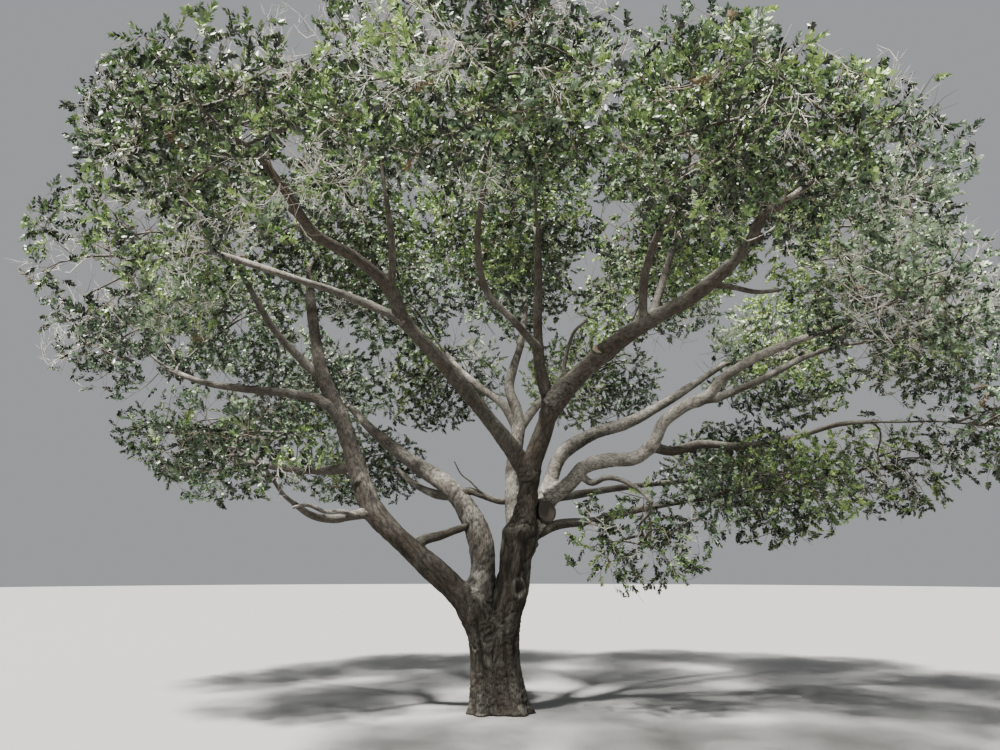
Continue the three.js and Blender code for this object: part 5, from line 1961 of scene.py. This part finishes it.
def add_floor(stage):
    """A wide round floor just under the trunk's cut."""
    turns = np.arange(FLOOR_SIDES) * 2 * math.pi / FLOOR_SIDES
    rim = np.stack([np.cos(turns), np.sin(turns), np.zeros(FLOOR_SIDES)], -1) * FLOOR_RADIUS
    mesh = new_mesh("studio_floor", rim - UP * FLOOR_DROP, [np.arange(FLOOR_SIDES)[None]])
    mesh.materials.append(plain_material("studio_floor", stage.floor, 0.9))
    new_object("studio_floor", mesh)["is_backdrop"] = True


def add_light(stage):
    """An even sky, and one wide key light from high above the viewer's side."""
    world = bpy.data.worlds.new("studio")
    world.use_nodes = True
    sky = next(n for n in world.node_tree.nodes if n.type == "BACKGROUND")
    sky.inputs["Color"].default_value = SKY_COLOUR
    sky.inputs["Strength"].default_value = stage.sky_strength
    bpy.context.scene.world = world
    sun = bpy.data.lights.new("key", "SUN")
    sun.energy = stage.sun_strength
    sun.angle = SUN_WIDTH
    sun.color = SUN_COLOUR
    key = bpy.data.objects.new("key", sun)
    key.rotation_euler = SUN_TURN
    bpy.context.scene.collection.objects.link(key)


def add_camera():
    """A camera at the photograph's viewpoint, raised as it is there."""
    data = bpy.data.cameras.new("camera")
    data.lens = CAMERA_LENS
    data.sensor_width = CAMERA_FILM
    data.clip_end = CAMERA_RANGE
    camera = bpy.data.objects.new("camera", data)
    camera.location = CAMERA_PLACE
    camera.rotation_euler = (math.pi / 2 + CAMERA_RISE, 0, 0)
    bpy.context.scene.collection.objects.link(camera)
    bpy.context.scene.camera = camera


STEPS = (
    OBJECT_OT_oak_trunk, OBJECT_OT_oak_boughs, OBJECT_OT_oak_stems, OBJECT_OT_oak_twigs,
    OBJECT_OT_oak_leaves, OBJECT_OT_oak_stage,
)


class VIEW3D_PT_oak(bpy.types.Panel):
    """Sizes, colours and steps of the oak"""

    bl_idname = "VIEW3D_PT_oak"
    bl_label = "Evergreen oak"
    bl_space_type = "VIEW_3D"
    bl_region_type = "UI"
    bl_category = "Oak"

    def draw(self, context):
        for settings in (context.scene.oak_bark, context.scene.oak_crown, context.scene.oak_stage):
            box = self.layout.box()
            for name in settings.__annotations__:
                box.prop(settings, name)
        for step in STEPS:
            self.layout.operator(step.bl_idname)


CLASSES = (OakBarkSettings, OakCrownSettings, OakStageSettings, *STEPS, VIEW3D_PT_oak)


def register():
    """Make the operators, the panel and the settings known."""
    for item in CLASSES:
        bpy.utils.register_class(item)
    bpy.types.Scene.oak_bark = PointerProperty(type=OakBarkSettings)
    bpy.types.Scene.oak_crown = PointerProperty(type=OakCrownSettings)
    bpy.types.Scene.oak_stage = PointerProperty(type=OakStageSettings)


def unregister():
    """Take away what register made."""
    del bpy.types.Scene.oak_stage
    del bpy.types.Scene.oak_crown
    del bpy.types.Scene.oak_bark
    for item in reversed(CLASSES):
        bpy.utils.unregister_class(item)


def main():
    """Build the tree and its studio."""
    register()
    bpy.ops.object.oak_trunk()
    bpy.ops.object.oak_boughs()
    bpy.ops.object.oak_stems()
    bpy.ops.object.oak_twigs()
    bpy.ops.object.oak_leaves()
    bpy.ops.object.oak_stage()
    boxes = {"cad": CAD_BOX, "visual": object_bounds()}
    {name: [list(corner) for corner in box] for name, box in boxes.items()}


if __name__ == "__main__":
    main()
